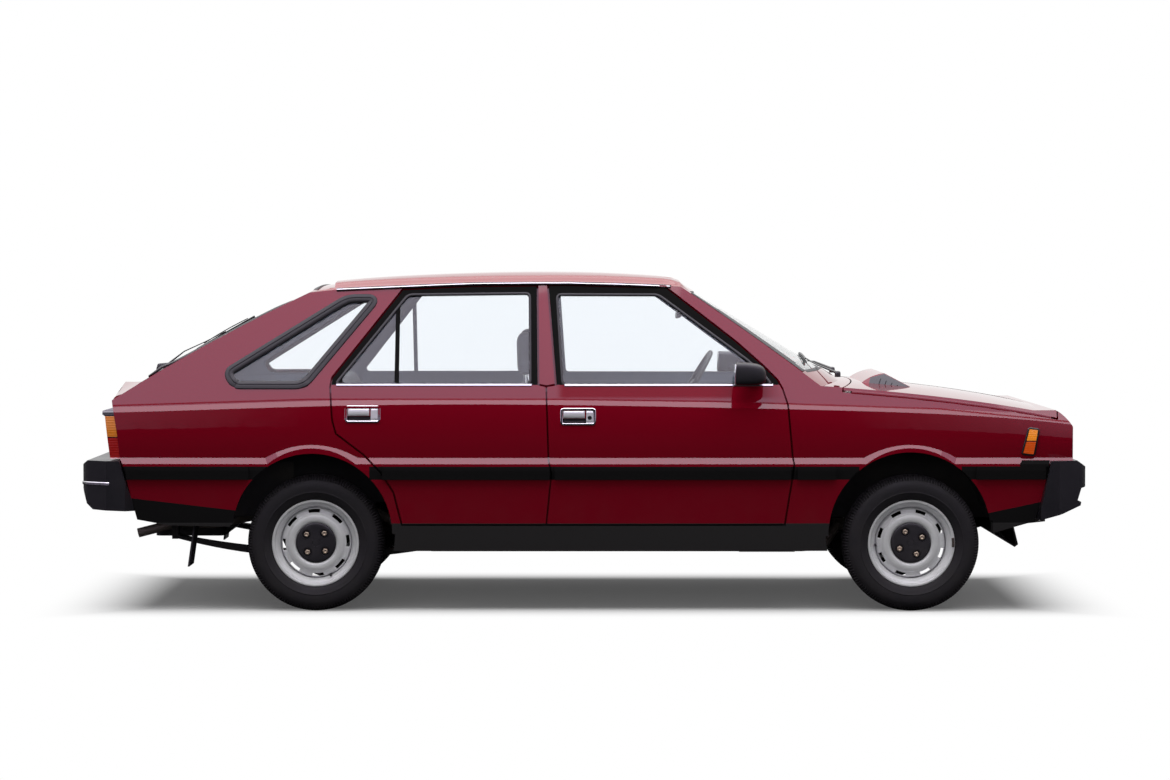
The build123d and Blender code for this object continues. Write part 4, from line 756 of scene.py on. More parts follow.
# %% Tyre profile
TYRE_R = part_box("front_tyre_left")[1][2] - (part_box("front_tyre_left")[1][2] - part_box("front_tyre_left")[0][2]) / 2
HALF = [(0.0, 0), (0.013, 0), (0.0145, -7), (0.0185, -7), (0.020, 0), (0.034, -0.6), (0.0355, -7), (0.0395, -7),
        (0.041, -1.0), (0.053, -2.2), (0.060, -4.0), (0.066, -7.2), (0.0715, -12.0), (0.0765, -19.0), (0.0775, -21.5)]
WALL = [(0.079, -24.0), (0.0830, -30.5), (0.0833, -31.3), (0.0843, -33.0), (0.0860, -41.0), (0.0871, -50.0),
        (0.0872, -60.0), (0.0866, -68.0), (0.0875, -70.0), (0.0875, -72.0), (0.0858, -74.0), (0.0825, -84.0),
        (0.0775, -93.0), (0.0715, -100.5), (0.0655, -104.2), (0.0600, -106.0)]
SHOULDER_ROWS = range(9, 14)
tyre_half = [(TYRE_R + drop / 1000, out) for out, drop in HALF + WALL]
tyre_profile = [(radius, -out) for radius, out in reversed(tyre_half[1:])] + tyre_half
middle = len(tyre_half) - 1


def tread_dent(i, j, radius, outward):
    """Pushes in the cross grooves of the shoulder blocks and the short cuts of the middle ribs."""
    row = abs(j - middle)
    shift = i + (2 if j > middle else 0)
    if row in SHOULDER_ROWS and shift % 3 == 0:
        return radius - 0.0045, outward * 0.985
    if row in (5,) and shift % 9 == 0:
        return radius - 0.003, outward
    return radius, outward


WHEELS = {}
for end in ("front", "rear"):
    for side_name, side in (("left", 1), ("right", -1)):
        low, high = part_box(f"{end}_tyre_{side_name}")
        centre = tuple((a + b) / 2 for a, b in zip(low, high))
        body = f"{end}_wheel_{side_name}"
        WHEELS[body] = (centre, side)
        lathe(f"{end}_{side_name}_tyre", tyre_profile, 432, centre, side, tread_rubber, body, tread_dent,
              smooth=28, replaces=(f"{end}_tyre_{side_name}",))
print("four tyres of radius", round(TYRE_R, 4))

# %% [markdown]
# ## Steel wheels
# Each wheel is a rolled rim with a pressed disc welded into it: eight slots at the disc's edge, a ring pressed
# outward, and a black plastic cap that the four bolts hold. The rim and the disc are turned profiles. The disc's
# slots are faces left out of the turned mesh, which a solidify modifier then gives the thickness of sheet steel.

# %% Profiles of rim, disc, cap, hub and drum
RIM = [(0.1650, -0.0690), (0.1820, -0.0690), (0.1822, -0.0640), (0.1705, -0.0600), (0.1690, -0.0400),
       (0.1530, -0.0250), (0.1500, 0.0), (0.1505, 0.0260), (0.1520, 0.0330), (0.1555, 0.0430), (0.1610, 0.0500),
       (0.1665, 0.0530), (0.1690, 0.0540), (0.1700, 0.0580), (0.1712, 0.0640), (0.1728, 0.0672), (0.1760, 0.0686),
       (0.1800, 0.0689), (0.1826, 0.0680), (0.1834, 0.0655), (0.1832, 0.0610)]
DISC = [(0.1502, -0.0020), (0.1480, 0.0060), (0.1455, 0.0170), (0.1430, 0.0260), (0.1405, 0.0310), (0.1370, 0.0335),
        (0.1330, 0.0345), (0.1285, 0.0352), (0.1235, 0.0362), (0.1205, 0.0385), (0.1185, 0.0420), (0.1160, 0.0450),
        (0.1110, 0.0475), (0.1050, 0.0486), (0.0985, 0.0486), (0.0930, 0.0472), (0.0890, 0.0440), (0.0865, 0.0400),
        (0.0850, 0.0350), (0.0700, 0.0330), (0.0300, 0.0330)]
SLOT_ROWS = (3, 4, 5, 6)
CAP = [(0.0846, 0.0340), (0.0846, 0.0420), (0.0838, 0.0450), (0.0815, 0.0468), (0.0780, 0.0474), (0.0700, 0.0478),
       (0.0330, 0.0482), (0.0160, 0.0484), (0.0150, 0.0474), (0.0140, 0.0484), (0.0001, 0.0485), (0.0001, 0.0340)]
TURN = {"front": math.radians(27), "rear": math.radians(48)}
VALVE = {"front": math.radians(183), "rear": math.radians(-65)}


def mirrored_turn(angle, side):
    """The left wheels carry the same pattern, seen from the other side."""
    return angle if side < 0 else math.pi - angle


# %% Make the wheels
def bolted_cap(name, centre, side, turn, body):
    """The black cap with four round wells, cut by a boolean, and a bolt head in each."""
    cap = lathe(name + "_cap", CAP, 96, centre, side, moulded_black, body, closed=True, smooth=30)
    wells = bmesh.new()
    places = []
    for k in range(4):
        angle = turn + k * math.pi / 2
        x, z = centre[0] + 0.053 * math.cos(angle), centre[2] + 0.053 * math.sin(angle)
        places.append((x, z))
        spin = Matrix.Rotation(math.pi / 2, 4, "X")
        bmesh.ops.create_cone(wells, cap_ends=True, segments=28, radius1=0.0192, radius2=0.0192, depth=0.024,
                              matrix=Matrix.Translation((x, centre[1] + side * 0.050, z)) @ spin)
    cutter_mesh = bpy.data.meshes.new("wells")
    wells.to_mesh(cutter_mesh)
    wells.free()
    cutter = bpy.data.objects.new("wells", cutter_mesh)
    bpy.context.scene.collection.objects.link(cutter)
    cut = cap.modifiers.new("wells", "BOOLEAN")
    cut.operation, cut.object, cut.solver = "DIFFERENCE", cutter, "EXACT"
    bpy.context.view_layer.update()
    solid = bpy.data.meshes.new_from_object(cap.evaluated_get(bpy.context.evaluated_depsgraph_get()))
    cap.modifiers.clear()
    cap.data = solid
    bpy.data.objects.remove(cutter)
    verts, faces = [], []
    for x, z in places:
        for radius, out in ((0.0118, 0.0385), (0.0118, 0.0470), (0.0104, 0.0492), (0.0058, 0.0497), (0.0054, 0.0480)):
            for k in range(6 if out < 0.0475 and radius > 0.006 else 6):
                angle = k * math.pi / 3 + turn
                verts.append((x + radius * math.cos(angle), centre[1] + side * out, z + radius * math.sin(angle)))
        base = len(verts) - 30
        for row in range(4):
            for k in range(6):
                a, b = base + row * 6 + k, base + row * 6 + (k + 1) % 6
                faces.append((a, b, b + 6, a + 6))
        faces.append(tuple(base + 24 + k for k in range(6)))
    piece(name + "_bolts", verts, faces, zinc, body, bevel=0.0008)


for body, (centre, side) in WHEELS.items():
    end, side_name = body.split("_wheel_")
    name = f"{end}_{side_name}"
    turn = mirrored_turn(TURN[end], side)
    lathe(name + "_rim", RIM, 160, centre, side, wheel_silver, body, smooth=60,
          replaces=(f"{end}_rim_{side_name}",))


    def in_slot(i, j, turn=turn):
        """True where one of the eight slots is open."""
        if j not in SLOT_ROWS:
            return False
        angle = (2 * math.pi * (i + 0.5) / 160 - turn) % (math.pi / 4)
        return min(angle, math.pi / 4 - angle) < 0.172


    disc = lathe(name + "_disc", DISC, 160, centre, side, wheel_silver, body, leave_out=in_slot, smooth=70)
    sheet = disc.modifiers.new("sheet", "SOLIDIFY")
    sheet.thickness, sheet.offset = 0.0032, 0.0
    bolted_cap(name, centre, side, turn, body)
    drum_in = -0.020 if end == "front" else -0.002
    DRUM = [(0.0190, drum_in), (0.1100, drum_in), (0.1120, drum_in + 0.002), (0.1120, drum_in + 0.012),
            (0.1100, drum_in + 0.014), (0.0560, drum_in + 0.014), (0.0560, 0.0270), (0.0300, 0.0300)]
    lathe(name + "_drum", DRUM, 64, centre, side, road_steel, body, smooth=35)
    # tyre valve: a short rubber stem with a cap, in the rim beside the disc
    angle = mirrored_turn(VALVE[end], side)
    stem = [(0.0058, 0.0), (0.0056, 0.010), (0.0042, 0.014), (0.0040, 0.026), (0.0050, 0.027), (0.0050, 0.037),
            (0.0040, 0.0385), (0.0002, 0.0385)]
    hold = (centre[0] + 0.1500 * math.cos(angle), centre[1] + side * 0.020, centre[2] + 0.1500 * math.sin(angle))
    lathe(name + "_valve", stem, 14, hold, side, gasket_rubber, body, smooth=60)
print("four wheels with rims, slotted discs, caps, bolts, drums and valves")

# %% [markdown]
# A balance weight is clipped to the rim's lip where the wheel was light: a short bar of lead bent to the rim.

# %% Balance weight
centre, side = WHEELS["front_wheel_right"]
verts, faces = [], []
for k in range(9):
    angle = math.radians(-5 + k * 1.6)
    for radius, out in ((0.1715, 0.0600), (0.1705, 0.0670), (0.1740, 0.0710), (0.1800, 0.0712), (0.1815, 0.0690)):
        verts.append((centre[0] + radius * math.cos(angle), centre[1] + side * out,
                      centre[2] + radius * math.sin(angle)))
for k in range(8):
    for j in range(4):
        a = k * 5 + j
        faces.append((a, a + 1, a + 6, a + 5))
weight = piece("front_right_weight", verts, faces, road_steel, "front_wheel_right", smooth=40)
weight.modifiers.new("lead", "SOLIDIFY").thickness = 0.002
print("one balance weight")

# %% [markdown]
# ## Where the skin is
# Trim follows the curved side, so its height above the skin has to be right everywhere. A ray is sent inwards
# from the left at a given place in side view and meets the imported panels. Every strip, seal and frame asks this
# helper for its path, and the right side gets the same path mirrored.

# %% Rays on the skin
def ray_tree(names):
    """A search tree over several CAD pieces."""
    work = bmesh.new()
    for name in names:
        work.from_mesh(nodes[name].data)
    tree_ = BVHTree.FromBMesh(work)
    work.free()
    return tree_


SIDE = ray_tree(["side_frame_left", "front_wing_left", "front_door_left", "rear_door_left", "roof_panel",
                 "rear_panel", "nose_panel"])
TOP = ray_tree(["roof_panel", "bonnet", "cowl_panel", "tailgate", "front_wing_left", "front_wing_right",
                "side_frame_left", "side_frame_right", "fixed_windows", "rear_window"])


def skin_y(x, z, tree_=None):
    """How far out the left side lies at this place, and which way it faces."""
    hit, normal, _, _ = (tree_ or SIDE).ray_cast(Vector((x, 1.5, z)), Vector((0, -1, 0)))
    return (hit.y, normal) if hit is not None else (None, None)


def skin_z(x, y):
    """How high the top lies at this place, and which way it faces."""
    hit, normal, _, _ = TOP.ray_cast(Vector((x, y, 2.5)), Vector((0, 0, -1)))
    return (hit.z, normal) if hit is not None else (None, None)


def on_side(points, lift=0.0, step=0.03):
    """Places an outline in side view on the skin, with more points on long runs."""
    result = []
    for i, (x, z) in enumerate(points):
        nx, nz = points[(i + 1) % len(points)]
        pieces_ = max(1, int(math.hypot(nx - x, nz - z) / step))
        for k in range(pieces_ if i < len(points) - 1 or len(points) > 2 else 1):
            t = k / pieces_
            px, pz = x + (nx - x) * t, z + (nz - z) * t
            y, _ = skin_y(px, pz)
            if y is None or y < 0.4:
                y = result[-1][1] - lift if result else 0.7
            result.append((px, y + lift, pz))
    return result


def open_side(points, lift=0.0, step=0.03):
    """The same for a path with two ends."""
    result = []
    for (x, z), (nx, nz) in zip(points, points[1:]):
        pieces_ = max(1, int(math.hypot(nx - x, nz - z) / step))
        result += [(x + (nx - x) * k / pieces_, z + (nz - z) * k / pieces_) for k in range(pieces_)]
    result.append(points[-1])
    placed = []
    for x, z in result:
        y, _ = skin_y(x, z)
        placed.append((x, (y if y is not None and y > 0.4 else placed[-1][1] - lift) + lift, z))
    return placed


def grown(points, amount):
    """An outline in side view moved outward by an amount, with mitred corners."""
    area = sum(a[0] * b[1] - b[0] * a[1] for a, b in zip(points, points[1:] + points[:1]))
    turn = 1 if area > 0 else -1
    result = []
    for i, (x, z) in enumerate(points):
        ax, az = points[i - 1]
        bx, bz = points[(i + 1) % len(points)]
        d1 = Vector((x - ax, z - az)).normalized()
        d2 = Vector((bx - x, bz - z)).normalized()
        n1, n2 = Vector((d1.y, -d1.x)) * turn, Vector((d2.y, -d2.x)) * turn
        m = (n1 + n2).normalized()
        reach = amount / max(0.4, m.dot(n1))
        result.append((x + m.x * reach, z + m.y * reach))
    return result


def flip(points):
    return [(x, -y, z) for x, y, z in points]


def side_out(side):
    """Which way the left or right skin faces at a point near it."""
    def direction(point):
        _, normal = skin_y(point.x, point.z)
        if normal is None or normal.y < 0.3:
            normal = Vector((0, 0.93, 0.36 if point.z > 0.9 else 0.0))
        return Vector((normal.x, normal.y * side, normal.z))
    return direction


def both_trims(name, path, section, finish, bodies, closed, **more):
    """One strip on the left and its mirror image on the right. bodies names the part of the body without side."""
    for side_name, side in (("left", 1), ("right", -1)):
        body = bodies if bodies == "body" else f"{bodies}_{side_name}"
        sweep(f"{name}_{side_name}", path if side > 0 else flip(path), section, side_out(side), finish, body, closed,
              **more)


print("skin helpers ready")

# %% [markdown]
# ## Window seals and bright strips
# Each door window has a rubber seal in its frame, a bright metal strip at its foot, and the fixed quarter window
# sits in a broad rubber moulding with a groove round it. A swept section follows each outline on the skin.

# %% Window outlines in side view
FRONT_WINDOW = [(-0.088, 0.962), (-0.112, 1.330), (0.310, 1.329), (0.676, 1.061), (0.742, 1.005), (0.776, 0.962)]
REAR_WINDOW = [(-1.035, 0.964), (-0.744, 1.329), (-0.236, 1.335), (-0.232, 0.964)]
QUARTER_WINDOW = [(-1.498, 1.008), (-1.467, 0.958), (-1.178, 0.958), (-0.884, 1.316), (-1.002, 1.316)]


def flat_rounded(points, radius, steps=5):
    return [(x, z) for x, z, _ in rounded([(x, z, 0) for x, z in points], radius, steps)]


LIP = [(-0.005, -0.009), (-0.005, 0.0012), (-0.0025, 0.0028), (0.0025, 0.0028), (0.005, 0.0012), (0.005, -0.009)]
MOULDING = [(-0.019, -0.006), (-0.019, 0.0015), (-0.0165, 0.0045), (-0.008, 0.0060), (-0.0035, 0.0058),
            (-0.0020, 0.0032),
            (0.0010, 0.0032), (0.0025, 0.0058), (0.0085, 0.0055), (0.0155, 0.0035), (0.019, -0.0005), (0.019, -0.006)]
both_trims("front_window_seal", on_side(flat_rounded(grown(FRONT_WINDOW, 0.0045), 0.02)), LIP, gasket_rubber,
           "front_door", True)
both_trims("rear_window_seal", on_side(flat_rounded(grown(REAR_WINDOW, 0.0045), 0.02)), LIP, gasket_rubber,
           "rear_door", True)
both_trims("quarter_moulding", on_side(flat_rounded(grown(QUARTER_WINDOW, 0.002), 0.040, 8)), MOULDING,
           gasket_rubber, "body", True)

# %% Bright strips at the foot of the windows
BRIGHT = [(-0.0055, -0.003), (-0.0055, 0.0016), (-0.0035, 0.0034), (0.0030, 0.0038), (0.0055, 0.0018),
          (0.0055, -0.003)]
both_trims("front_belt_strip", open_side([(-0.083, 0.9555), (0.790, 0.9555)]), BRIGHT, bright_metal,
           "front_door", False)
both_trims("rear_belt_strip", open_side([(-1.040, 0.9565), (-0.222, 0.9565)]), BRIGHT, bright_metal, "rear_door", False)
print("seals, mouldings and belt strips")

# %% [markdown]
# ## Drip rails and the line below them
# A gutter of folded steel runs along each side of the roof over the doors. A thin bright cap is clipped over its
# edge, and its underside is in shadow. The rail is one swept section and the cap another.

# %% Drip rails
RAIL_LINE = [(-1.049, 1.3530), (-0.950, 1.3575), (-0.803, 1.3636), (-0.640, 1.3709), (-0.479, 1.3770), (-0.270, 1.3795),
             (-0.060, 1.3800), (0.160, 1.3745), (0.300, 1.3690), (0.366, 1.3655)]
GUTTER = [(-0.0065, -0.004), (-0.0065, 0.0045), (-0.004, 0.0075), (0.004, 0.0080), (0.0065, 0.0065), (0.0065, -0.004)]
rail = open_side(RAIL_LINE, 0.0)
both_trims("drip_rail", rail, GUTTER, satin_black, "body", False)
both_trims("drip_rail_cap", rail, [(-0.0022, 0.004), (-0.0022, 0.0088), (-0.0010, 0.0096), (0.0010, 0.0090),
                                   (0.0010, 0.004)], bright_metal, "body", False)
print("drip rails")

# %% [markdown]
# ## Door handles
# The handle is a bright cast frame let into the door. Inside it is a black well, a bright flap that the fingers
# pull from below, and a bright plate in front, which carries the lock on the front doors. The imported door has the
# well and the flap, so this adds the frame's polished edge, the linings and the lock.


# %% Handles
def side_patch(name, sheet_y, corners, depth, finish, body, side, across=10, up=5, thickness=0.0015, bow=0.0, **more):
    """A plate that follows the sheet at a depth, given its corners in side view."""
    verts, faces = [], []
    (x0, z0), (x1, z1) = corners
    for i in range(across + 1):
        for j in range(up + 1):
            x, z = x0 + (x1 - x0) * i / across, z0 + (z1 - z0) * j / up
            swell = bow * (1 - (2 * j / up - 1) ** 2)
            verts.append((x, side * (sheet_y(x, z) + depth + swell), z))
    for i in range(across):
        for j in range(up):
            a = i * (up + 1) + j
            faces.append((a, a + 1, a + up + 2, a + up + 1))
    made = piece(name, verts, faces, finish, body, **more)
    sheet = made.modifiers.new("plate", "SOLIDIFY")
    sheet.thickness, sheet.offset = thickness, 0.0
    return made


def plane_through(x0, x1, z0, z1):
    """The skin near a handle as a smooth sheet, from four places round it where nothing stands proud."""
    ys = {(i, j): skin_y((x0, x1)[i], (z0, z1)[j])[0] for i in (0, 1) for j in (0, 1)}

    def line(x, z):
        u, v = (x - x0) / (x1 - x0), (z - z0) / (z1 - z0)
        return ((ys[0, 0] * (1 - u) + ys[1, 0] * u) * (1 - v) + (ys[0, 1] * (1 - u) + ys[1, 1] * u) * v)
    return line


for door, (cx, cz), lock in (("front_door", (-0.027, 0.825), True), ("rear_door", (-0.928, 0.835), False)):
    flat_y = plane_through(cx - 0.09, cx + 0.09, cz - 0.05, cz + 0.045)
    ring_path = [(x, flat_y(x, z), z) for x, z in flat_rounded(
        [(cx - 0.0695, cz - 0.0315), (cx + 0.0695, cz - 0.0315), (cx + 0.0695, cz + 0.0315),
         (cx - 0.0695, cz + 0.0315)],
        0.010, 6)]
    FRAME = [(-0.0045, -0.004), (-0.0045, 0.0040), (-0.0025, 0.0058), (0.0025, 0.0058), (0.0045, 0.0040),
             (0.0045, -0.004)]
    for side_name, side in (("left", 1), ("right", -1)):
        body = f"{door}_{side_name}"
        path = ring_path if side > 0 else flip(ring_path)
        sweep(f"{door}_handle_frame_{side_name}", path, FRAME, (0, side, 0.1), bright_metal, body)
        side_patch(f"{door}_handle_well_{side_name}", flat_y, ((cx - 0.064, cz - 0.027), (cx + 0.064, cz + 0.027)),
                   -0.0125,
                   satin_black, body, side)
        side_patch(f"{door}_handle_flap_{side_name}", flat_y, ((cx - 0.062, cz - 0.006), (cx + 0.028, cz + 0.0245)),
                   0.0035,
                   satin_chrome, body, side, bow=0.0016, smooth=60)
        side_patch(f"{door}_handle_plate_{side_name}", flat_y, ((cx + 0.034, cz - 0.0262), (cx + 0.0635, cz + 0.0262)),
                   0.0018,
                   satin_chrome, body, side, smooth=60)
        if lock:
            barrel = [(0.0001, 0.0), (0.0040, 0.0), (0.0042, 0.0012), (0.0072, 0.0018), (0.0084, 0.0012),
                      (0.0086, -0.003)]
            lathe(f"{door}_lock_{side_name}", barrel, 28,
                  (cx + 0.0487, side * (flat_y(cx + 0.049, cz) + 0.0035), cz - 0.004),
                  side, satin_black, body, smooth=50)
print("four door handles")

# %% [markdown]
# ## Door mirrors
# The mirror is a black moulded shell, rounded at the front and flat where the glass sits at the back, on a short
# foot in the corner of the window. A cage of eight-sided rings that change size from back to front is subdivided,
# which gives the soft shell. The glass is a separate bright plate, a little inside the rim.


# %% Mirrors
def ringed(name, rings, finish, body, side, cap_ends=(True, True), level=2, **more):
    """A shell over rings of points that all have as many corners."""
    verts = [(x, side * y, z) for ring_ in rings for x, y, z in ring_]
    count = len(rings[0])
    faces = [(i * count + k, i * count + (k + 1) % count, (i + 1) * count + (k + 1) % count, (i + 1) * count + k)
             for i in range(len(rings) - 1) for k in range(count)]
    if cap_ends[0]:
        faces.append(tuple(range(count)))
    if cap_ends[1]:
        faces.append(tuple(range((len(rings) - 1) * count, len(rings) * count)))
    made = piece(name, verts, faces, finish, body, smooth=180, **more)
    if level:
        shape = made.modifiers.new("round", "SUBSURF")
        shape.levels = shape.render_levels = level
    return made


def box_ring(x, y0, y1, z0, z1, lean=0.0, cut=0.3):
    """An eight-cornered ring: a rectangle in the YZ plane with its corners cut."""
    dy, dz = (y1 - y0) * cut * 0.5, (z1 - z0) * cut * 0.5
    points = [(y0 + dy, z0), (y1 - dy, z0), (y1, z0 + dz), (y1, z1 - dz), (y1 - dy, z1), (y0 + dy, z1), (y0, z1 - dz),
              (y0, z0 + dz)]
    return [(x + lean * (z - z0), y, z) for y, z in points]


M_IN, M_OUT = 0.782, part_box("mirror_left")[1][1] - 0.002
for side_name, side in (("left", 1), ("right", -1)):
    body = f"front_door_{side_name}"
    rings = [box_ring(0.6285, M_IN + 0.006, M_OUT - 0.006, 0.9620, 1.0500, 0.03, 0.22),
             box_ring(0.6255, M_IN, M_OUT, 0.9580, 1.0545, 0.03, 0.20),
             box_ring(0.6300, M_IN, M_OUT, 0.9575, 1.0550, 0.03, 0.20),
             box_ring(0.6800, M_IN + 0.002, M_OUT - 0.003, 0.9570, 1.0545, 0.02, 0.22),
             box_ring(0.7250, M_IN + 0.006, M_OUT - 0.012, 0.9590, 1.0480, 0.0, 0.30),
             box_ring(0.7480, M_IN + 0.016, M_OUT - 0.030, 0.9640, 1.0340, -0.02, 0.36),
             box_ring(0.7580, M_IN + 0.028, M_OUT - 0.045, 0.9740, 1.0160, -0.05, 0.40)]
    ringed(f"mirror_shell_{side_name}", rings, moulded_black, body, side, replaces=(f"mirror_{side_name}",))
    glass_plate = [box_ring(0.6262, M_IN + 0.010, M_OUT - 0.010, 0.9650, 1.0475, 0.03, 0.18)]
    mirror_glass = piece(f"mirror_glass_{side_name}", [(x, side * y, z) for x, y, z in glass_plate[0]],
                         [tuple(range(8))], bright_metal, body)
    mirror_glass.modifiers.new("plate", "SOLIDIFY").thickness = 0.001
    foot_rings = [[(0.660, 0.800, 0.964), (0.735, 0.800, 0.964), (0.735, 0.800, 0.996), (0.660, 0.800, 0.996)],
                  [(0.668, 0.775, 0.964), (0.742, 0.775, 0.963), (0.738, 0.775, 0.992), (0.672, 0.775, 0.994)],
                  [(0.690, 0.745, 0.963), (0.772, 0.745, 0.962), (0.752, 0.745, 0.986), (0.700, 0.742, 1.004)],
                  [(0.690, 0.735, 0.963), (0.778, 0.740, 0.962), (0.752, 0.735, 0.990), (0.698, 0.725, 1.020)]]
    ringed(f"mirror_foot_{side_name}", foot_rings, moulded_black, body, side)
print("two mirrors")

# %% [markdown]
# ## Lamps
# The side repeaters sit in thin black frames. The tail lamps have a black cap above and a black seam between the
# two colours. A frame is a swept ring on the skin, and the tail lamp's cap and seam are black bands in its lens finish.

# %% Side repeaters
REPEATER = [(1.837, 0.672), (1.880, 0.667), (1.897, 0.768), (1.862, 0.772)]
both_trims("repeater_frame", on_side(flat_rounded(grown(REPEATER, 0.0035), 0.008), 0.0, 0.02),
           [(-0.004, -0.002), (-0.004, 0.0065), (-0.002, 0.0085), (0.003, 0.0085), (0.004, 0.0065), (0.004, -0.002)],
           satin_black, "body", True)
print("repeater frames")

# %% [markdown]
# ## Bumpers
# The bumpers are black mouldings. The rear one has a thin bright strip let into it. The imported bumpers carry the
# shape, so only the strip is added. Its path comes from rays on the bumper at the
# strip's height.

# %% Bumper strips
def round_bumper(name, z, count=60):
    """A path round the outside of a bumper at one height, from its left end to its right end."""
    tree_ = ray_tree([name])
    low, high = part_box(name)
    front = low[0] > 0
    inner_x = low[0] if front else high[0]
    path = []
    for k in range(count + 1):
        angle = math.pi * k / count
        # rays come in square to an ellipse round the bumper
        reach = (high[0] - low[0]) + 0.3
        direction = Vector((math.sin(angle) * (1 if front else -1), math.cos(angle), 0))
        start = (Vector((inner_x + (0.10 if front else -0.10), 0, z))
                 + Vector((direction.x * reach, direction.y * 1.3, 0)))
        toward = -Vector((direction.x * 0.55, direction.y, 0)).normalized()
        hit, _, _, _ = tree_.ray_cast(start, toward)
        if hit is not None:
            path.append(tuple(hit))
    return path, tree_


def outward_from(tree_):
    def direction(point):
        _, normal, _, _ = tree_.find_nearest(point)
        return Vector((normal.x, normal.y, 0.0001))
    return direction


BUMPER_STRIP = [(-0.007, -0.002), (-0.007, 0.0022), (-0.0045, 0.0042), (0.0045, 0.0042), (0.007, 0.0022),
                (0.007, -0.002)]
for name, z in (("rear_bumper", 0.544),):
    path, tree_ = round_bumper(name, z)
    sweep(f"{name}_strip", path, BUMPER_STRIP, outward_from(tree_), brushed_metal, "body", False)
    print(name, len(path), "places", [round(v, 3) for v in path[0]], [round(v, 3) for v in path[len(path) // 2]])

# %% [markdown]
# ## Wipers
# Each front wiper is a thin spring arm on a capped spindle, and a blade of rubber in a row of claws. The arm
# bends down from its spindle to the glass and the blade lies on it. A ray from above gives the glass's height.
# The tailgate has one wiper of its own.


# %% Wipers
def over(x, y, lift):
    z, _ = skin_z(x, y)
    return (x, y, (z if z is not None else 1.0) + lift)


def rod(name, path, widths, heights, finish, body, up=(0, 0, 1), **more):
    """A bar that changes width and height along its path."""
    verts, faces = [], []
    for i, point in enumerate(path):
        here = Vector(point)
        ahead = (Vector(path[min(i + 1, len(path) - 1)]) - Vector(path[max(i - 1, 0)])).normalized()
        across = ahead.cross(Vector(up)).normalized()
        above_ = across.cross(ahead).normalized()
        w, h = widths[i] / 2, heights[i] / 2
        for a, o in ((-w, -h), (-w, h * 0.4), (-w * 0.6, h), (w * 0.6, h), (w, h * 0.4), (w, -h)):
            verts.append(tuple(here + across * a + above_ * o))
    for i in range(len(path) - 1):
        for j in range(6):
            faces.append((i * 6 + j, i * 6 + (j + 1) % 6, (i + 1) * 6 + (j + 1) % 6, (i + 1) * 6 + j))
    faces += [tuple(range(6)), tuple(range((len(path) - 1) * 6, len(path) * 6))]
    return piece(name, verts, faces, finish, body, **more)


def wiper(tag, spindle, elbow, tip_a, tip_b, body, finish=satin_black, up=(0, 0, 1)):
    """An arm from the spindle to the middle of the blade, and the blade with its claws."""
    sx, sy, sz = spindle
    middle = tuple((a + b) / 2 for a, b in zip(tip_a, tip_b))
    arm = [(sx, sy, sz), tuple(s + (e - s) * 0.25 for s, e in zip(spindle, elbow)), elbow,
           tuple(e + (m - e) * 0.5 for e, m in zip(elbow, middle)), (middle[0], middle[1], middle[2] + 0.004)]
    rod(f"{tag}_arm", arm, [0.016, 0.014, 0.011, 0.008, 0.007], [0.010, 0.008, 0.005, 0.004, 0.004], finish, body, up)
    count = 16
    blade = [tuple(a + (b - a) * k / count for a, b in zip(tip_a, tip_b)) for k in range(count + 1)]
    rod(f"{tag}_blade", [(x, y, z - 0.003) for x, y, z in blade], [0.0035] * (count + 1), [0.010] * (count + 1),
        gasket_rubber, body, up)
    bow = [(x, y, z + 0.004 + 0.006 * math.sin(math.pi * k / count)) for k, (x, y, z) in enumerate(blade)]
    rod(f"{tag}_bow", bow[2:-2], [0.008] * (count - 3), [0.004] * (count - 3), finish, body, up)


for index, (sx, sy) in enumerate(((1.088, -0.420), (1.108, 0.130))):
    base = (sx, sy, 0.996)
    tip_near = over(0.955 if index == 0 else 0.975, sy + 0.02, 0.014)
    tip_far = over(0.955 if index == 0 else 0.985, sy + 0.50, 0.014)
    elbow = (sx - 0.075, sy + 0.09, 1.026)
    wiper(f"wiper_{'right' if index == 0 else 'middle'}", base, elbow, tip_near, tip_far, "body")
    dome = [(0.0001, 0.008), (0.006, 0.0075), (0.0105, 0.005), (0.0125, 0.0), (0.0130, -0.018)]
    verts, faces = [], []
    for i in range(24):
        a = 2 * math.pi * i / 24
        verts += [(base[0] + r * math.cos(a), base[1] + r * math.sin(a), base[2] + h) for r, h in dome]
    for i in range(24):
        for j in range(4):
            faces.append((i * 5 + j, i * 5 + j + 1, ((i + 1) % 24) * 5 + j + 1, ((i + 1) % 24) * 5 + j))
    piece(f"wiper_cap_{index}", verts, faces, satin_black, "body", smooth=60,
          replaces=("wipers",) if index == 0 else ())
print("two front wipers")

# %% [markdown]
# ## Roof
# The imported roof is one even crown. A pressed roof is flatter in the middle and rolls down close to the gutter.
# The same mesh is cut into narrow lengthwise strips, and its top is lifted between the middle and the gutter.
# It is not lifted at its ends, where it meets the windscreen and the tailgate.

# %% Roof skin
ROOF_LIFT = 0.024
work = bmesh.new()
work.from_mesh(nodes["roof_panel"].data)
bmesh.ops.triangulate(work, faces=work.faces)
for cut in [0.0] + [s * y for y in (0.08, 0.16, 0.24, 0.31, 0.37, 0.42, 0.46, 0.49, 0.51,
                                      0.523, 0.534, 0.544, 0.554, 0.563, 0.572, 0.58)
                    for s in (1, -1)]:
    bmesh.ops.bisect_plane(work, geom=work.verts[:] + work.edges[:] + work.faces[:], plane_co=(0, cut, 0),
                           plane_no=(0, 1, 0))
for cut in (-1.25, -1.18, -1.10, -1.0, -0.8, -0.5, -0.2, 0.1, 0.25, 0.33, 0.38, 0.42):
    bmesh.ops.bisect_plane(work, geom=work.verts[:] + work.edges[:] + work.faces[:], plane_co=(cut, 0, 0),
                           plane_no=(1, 0, 0))
work.normal_update()


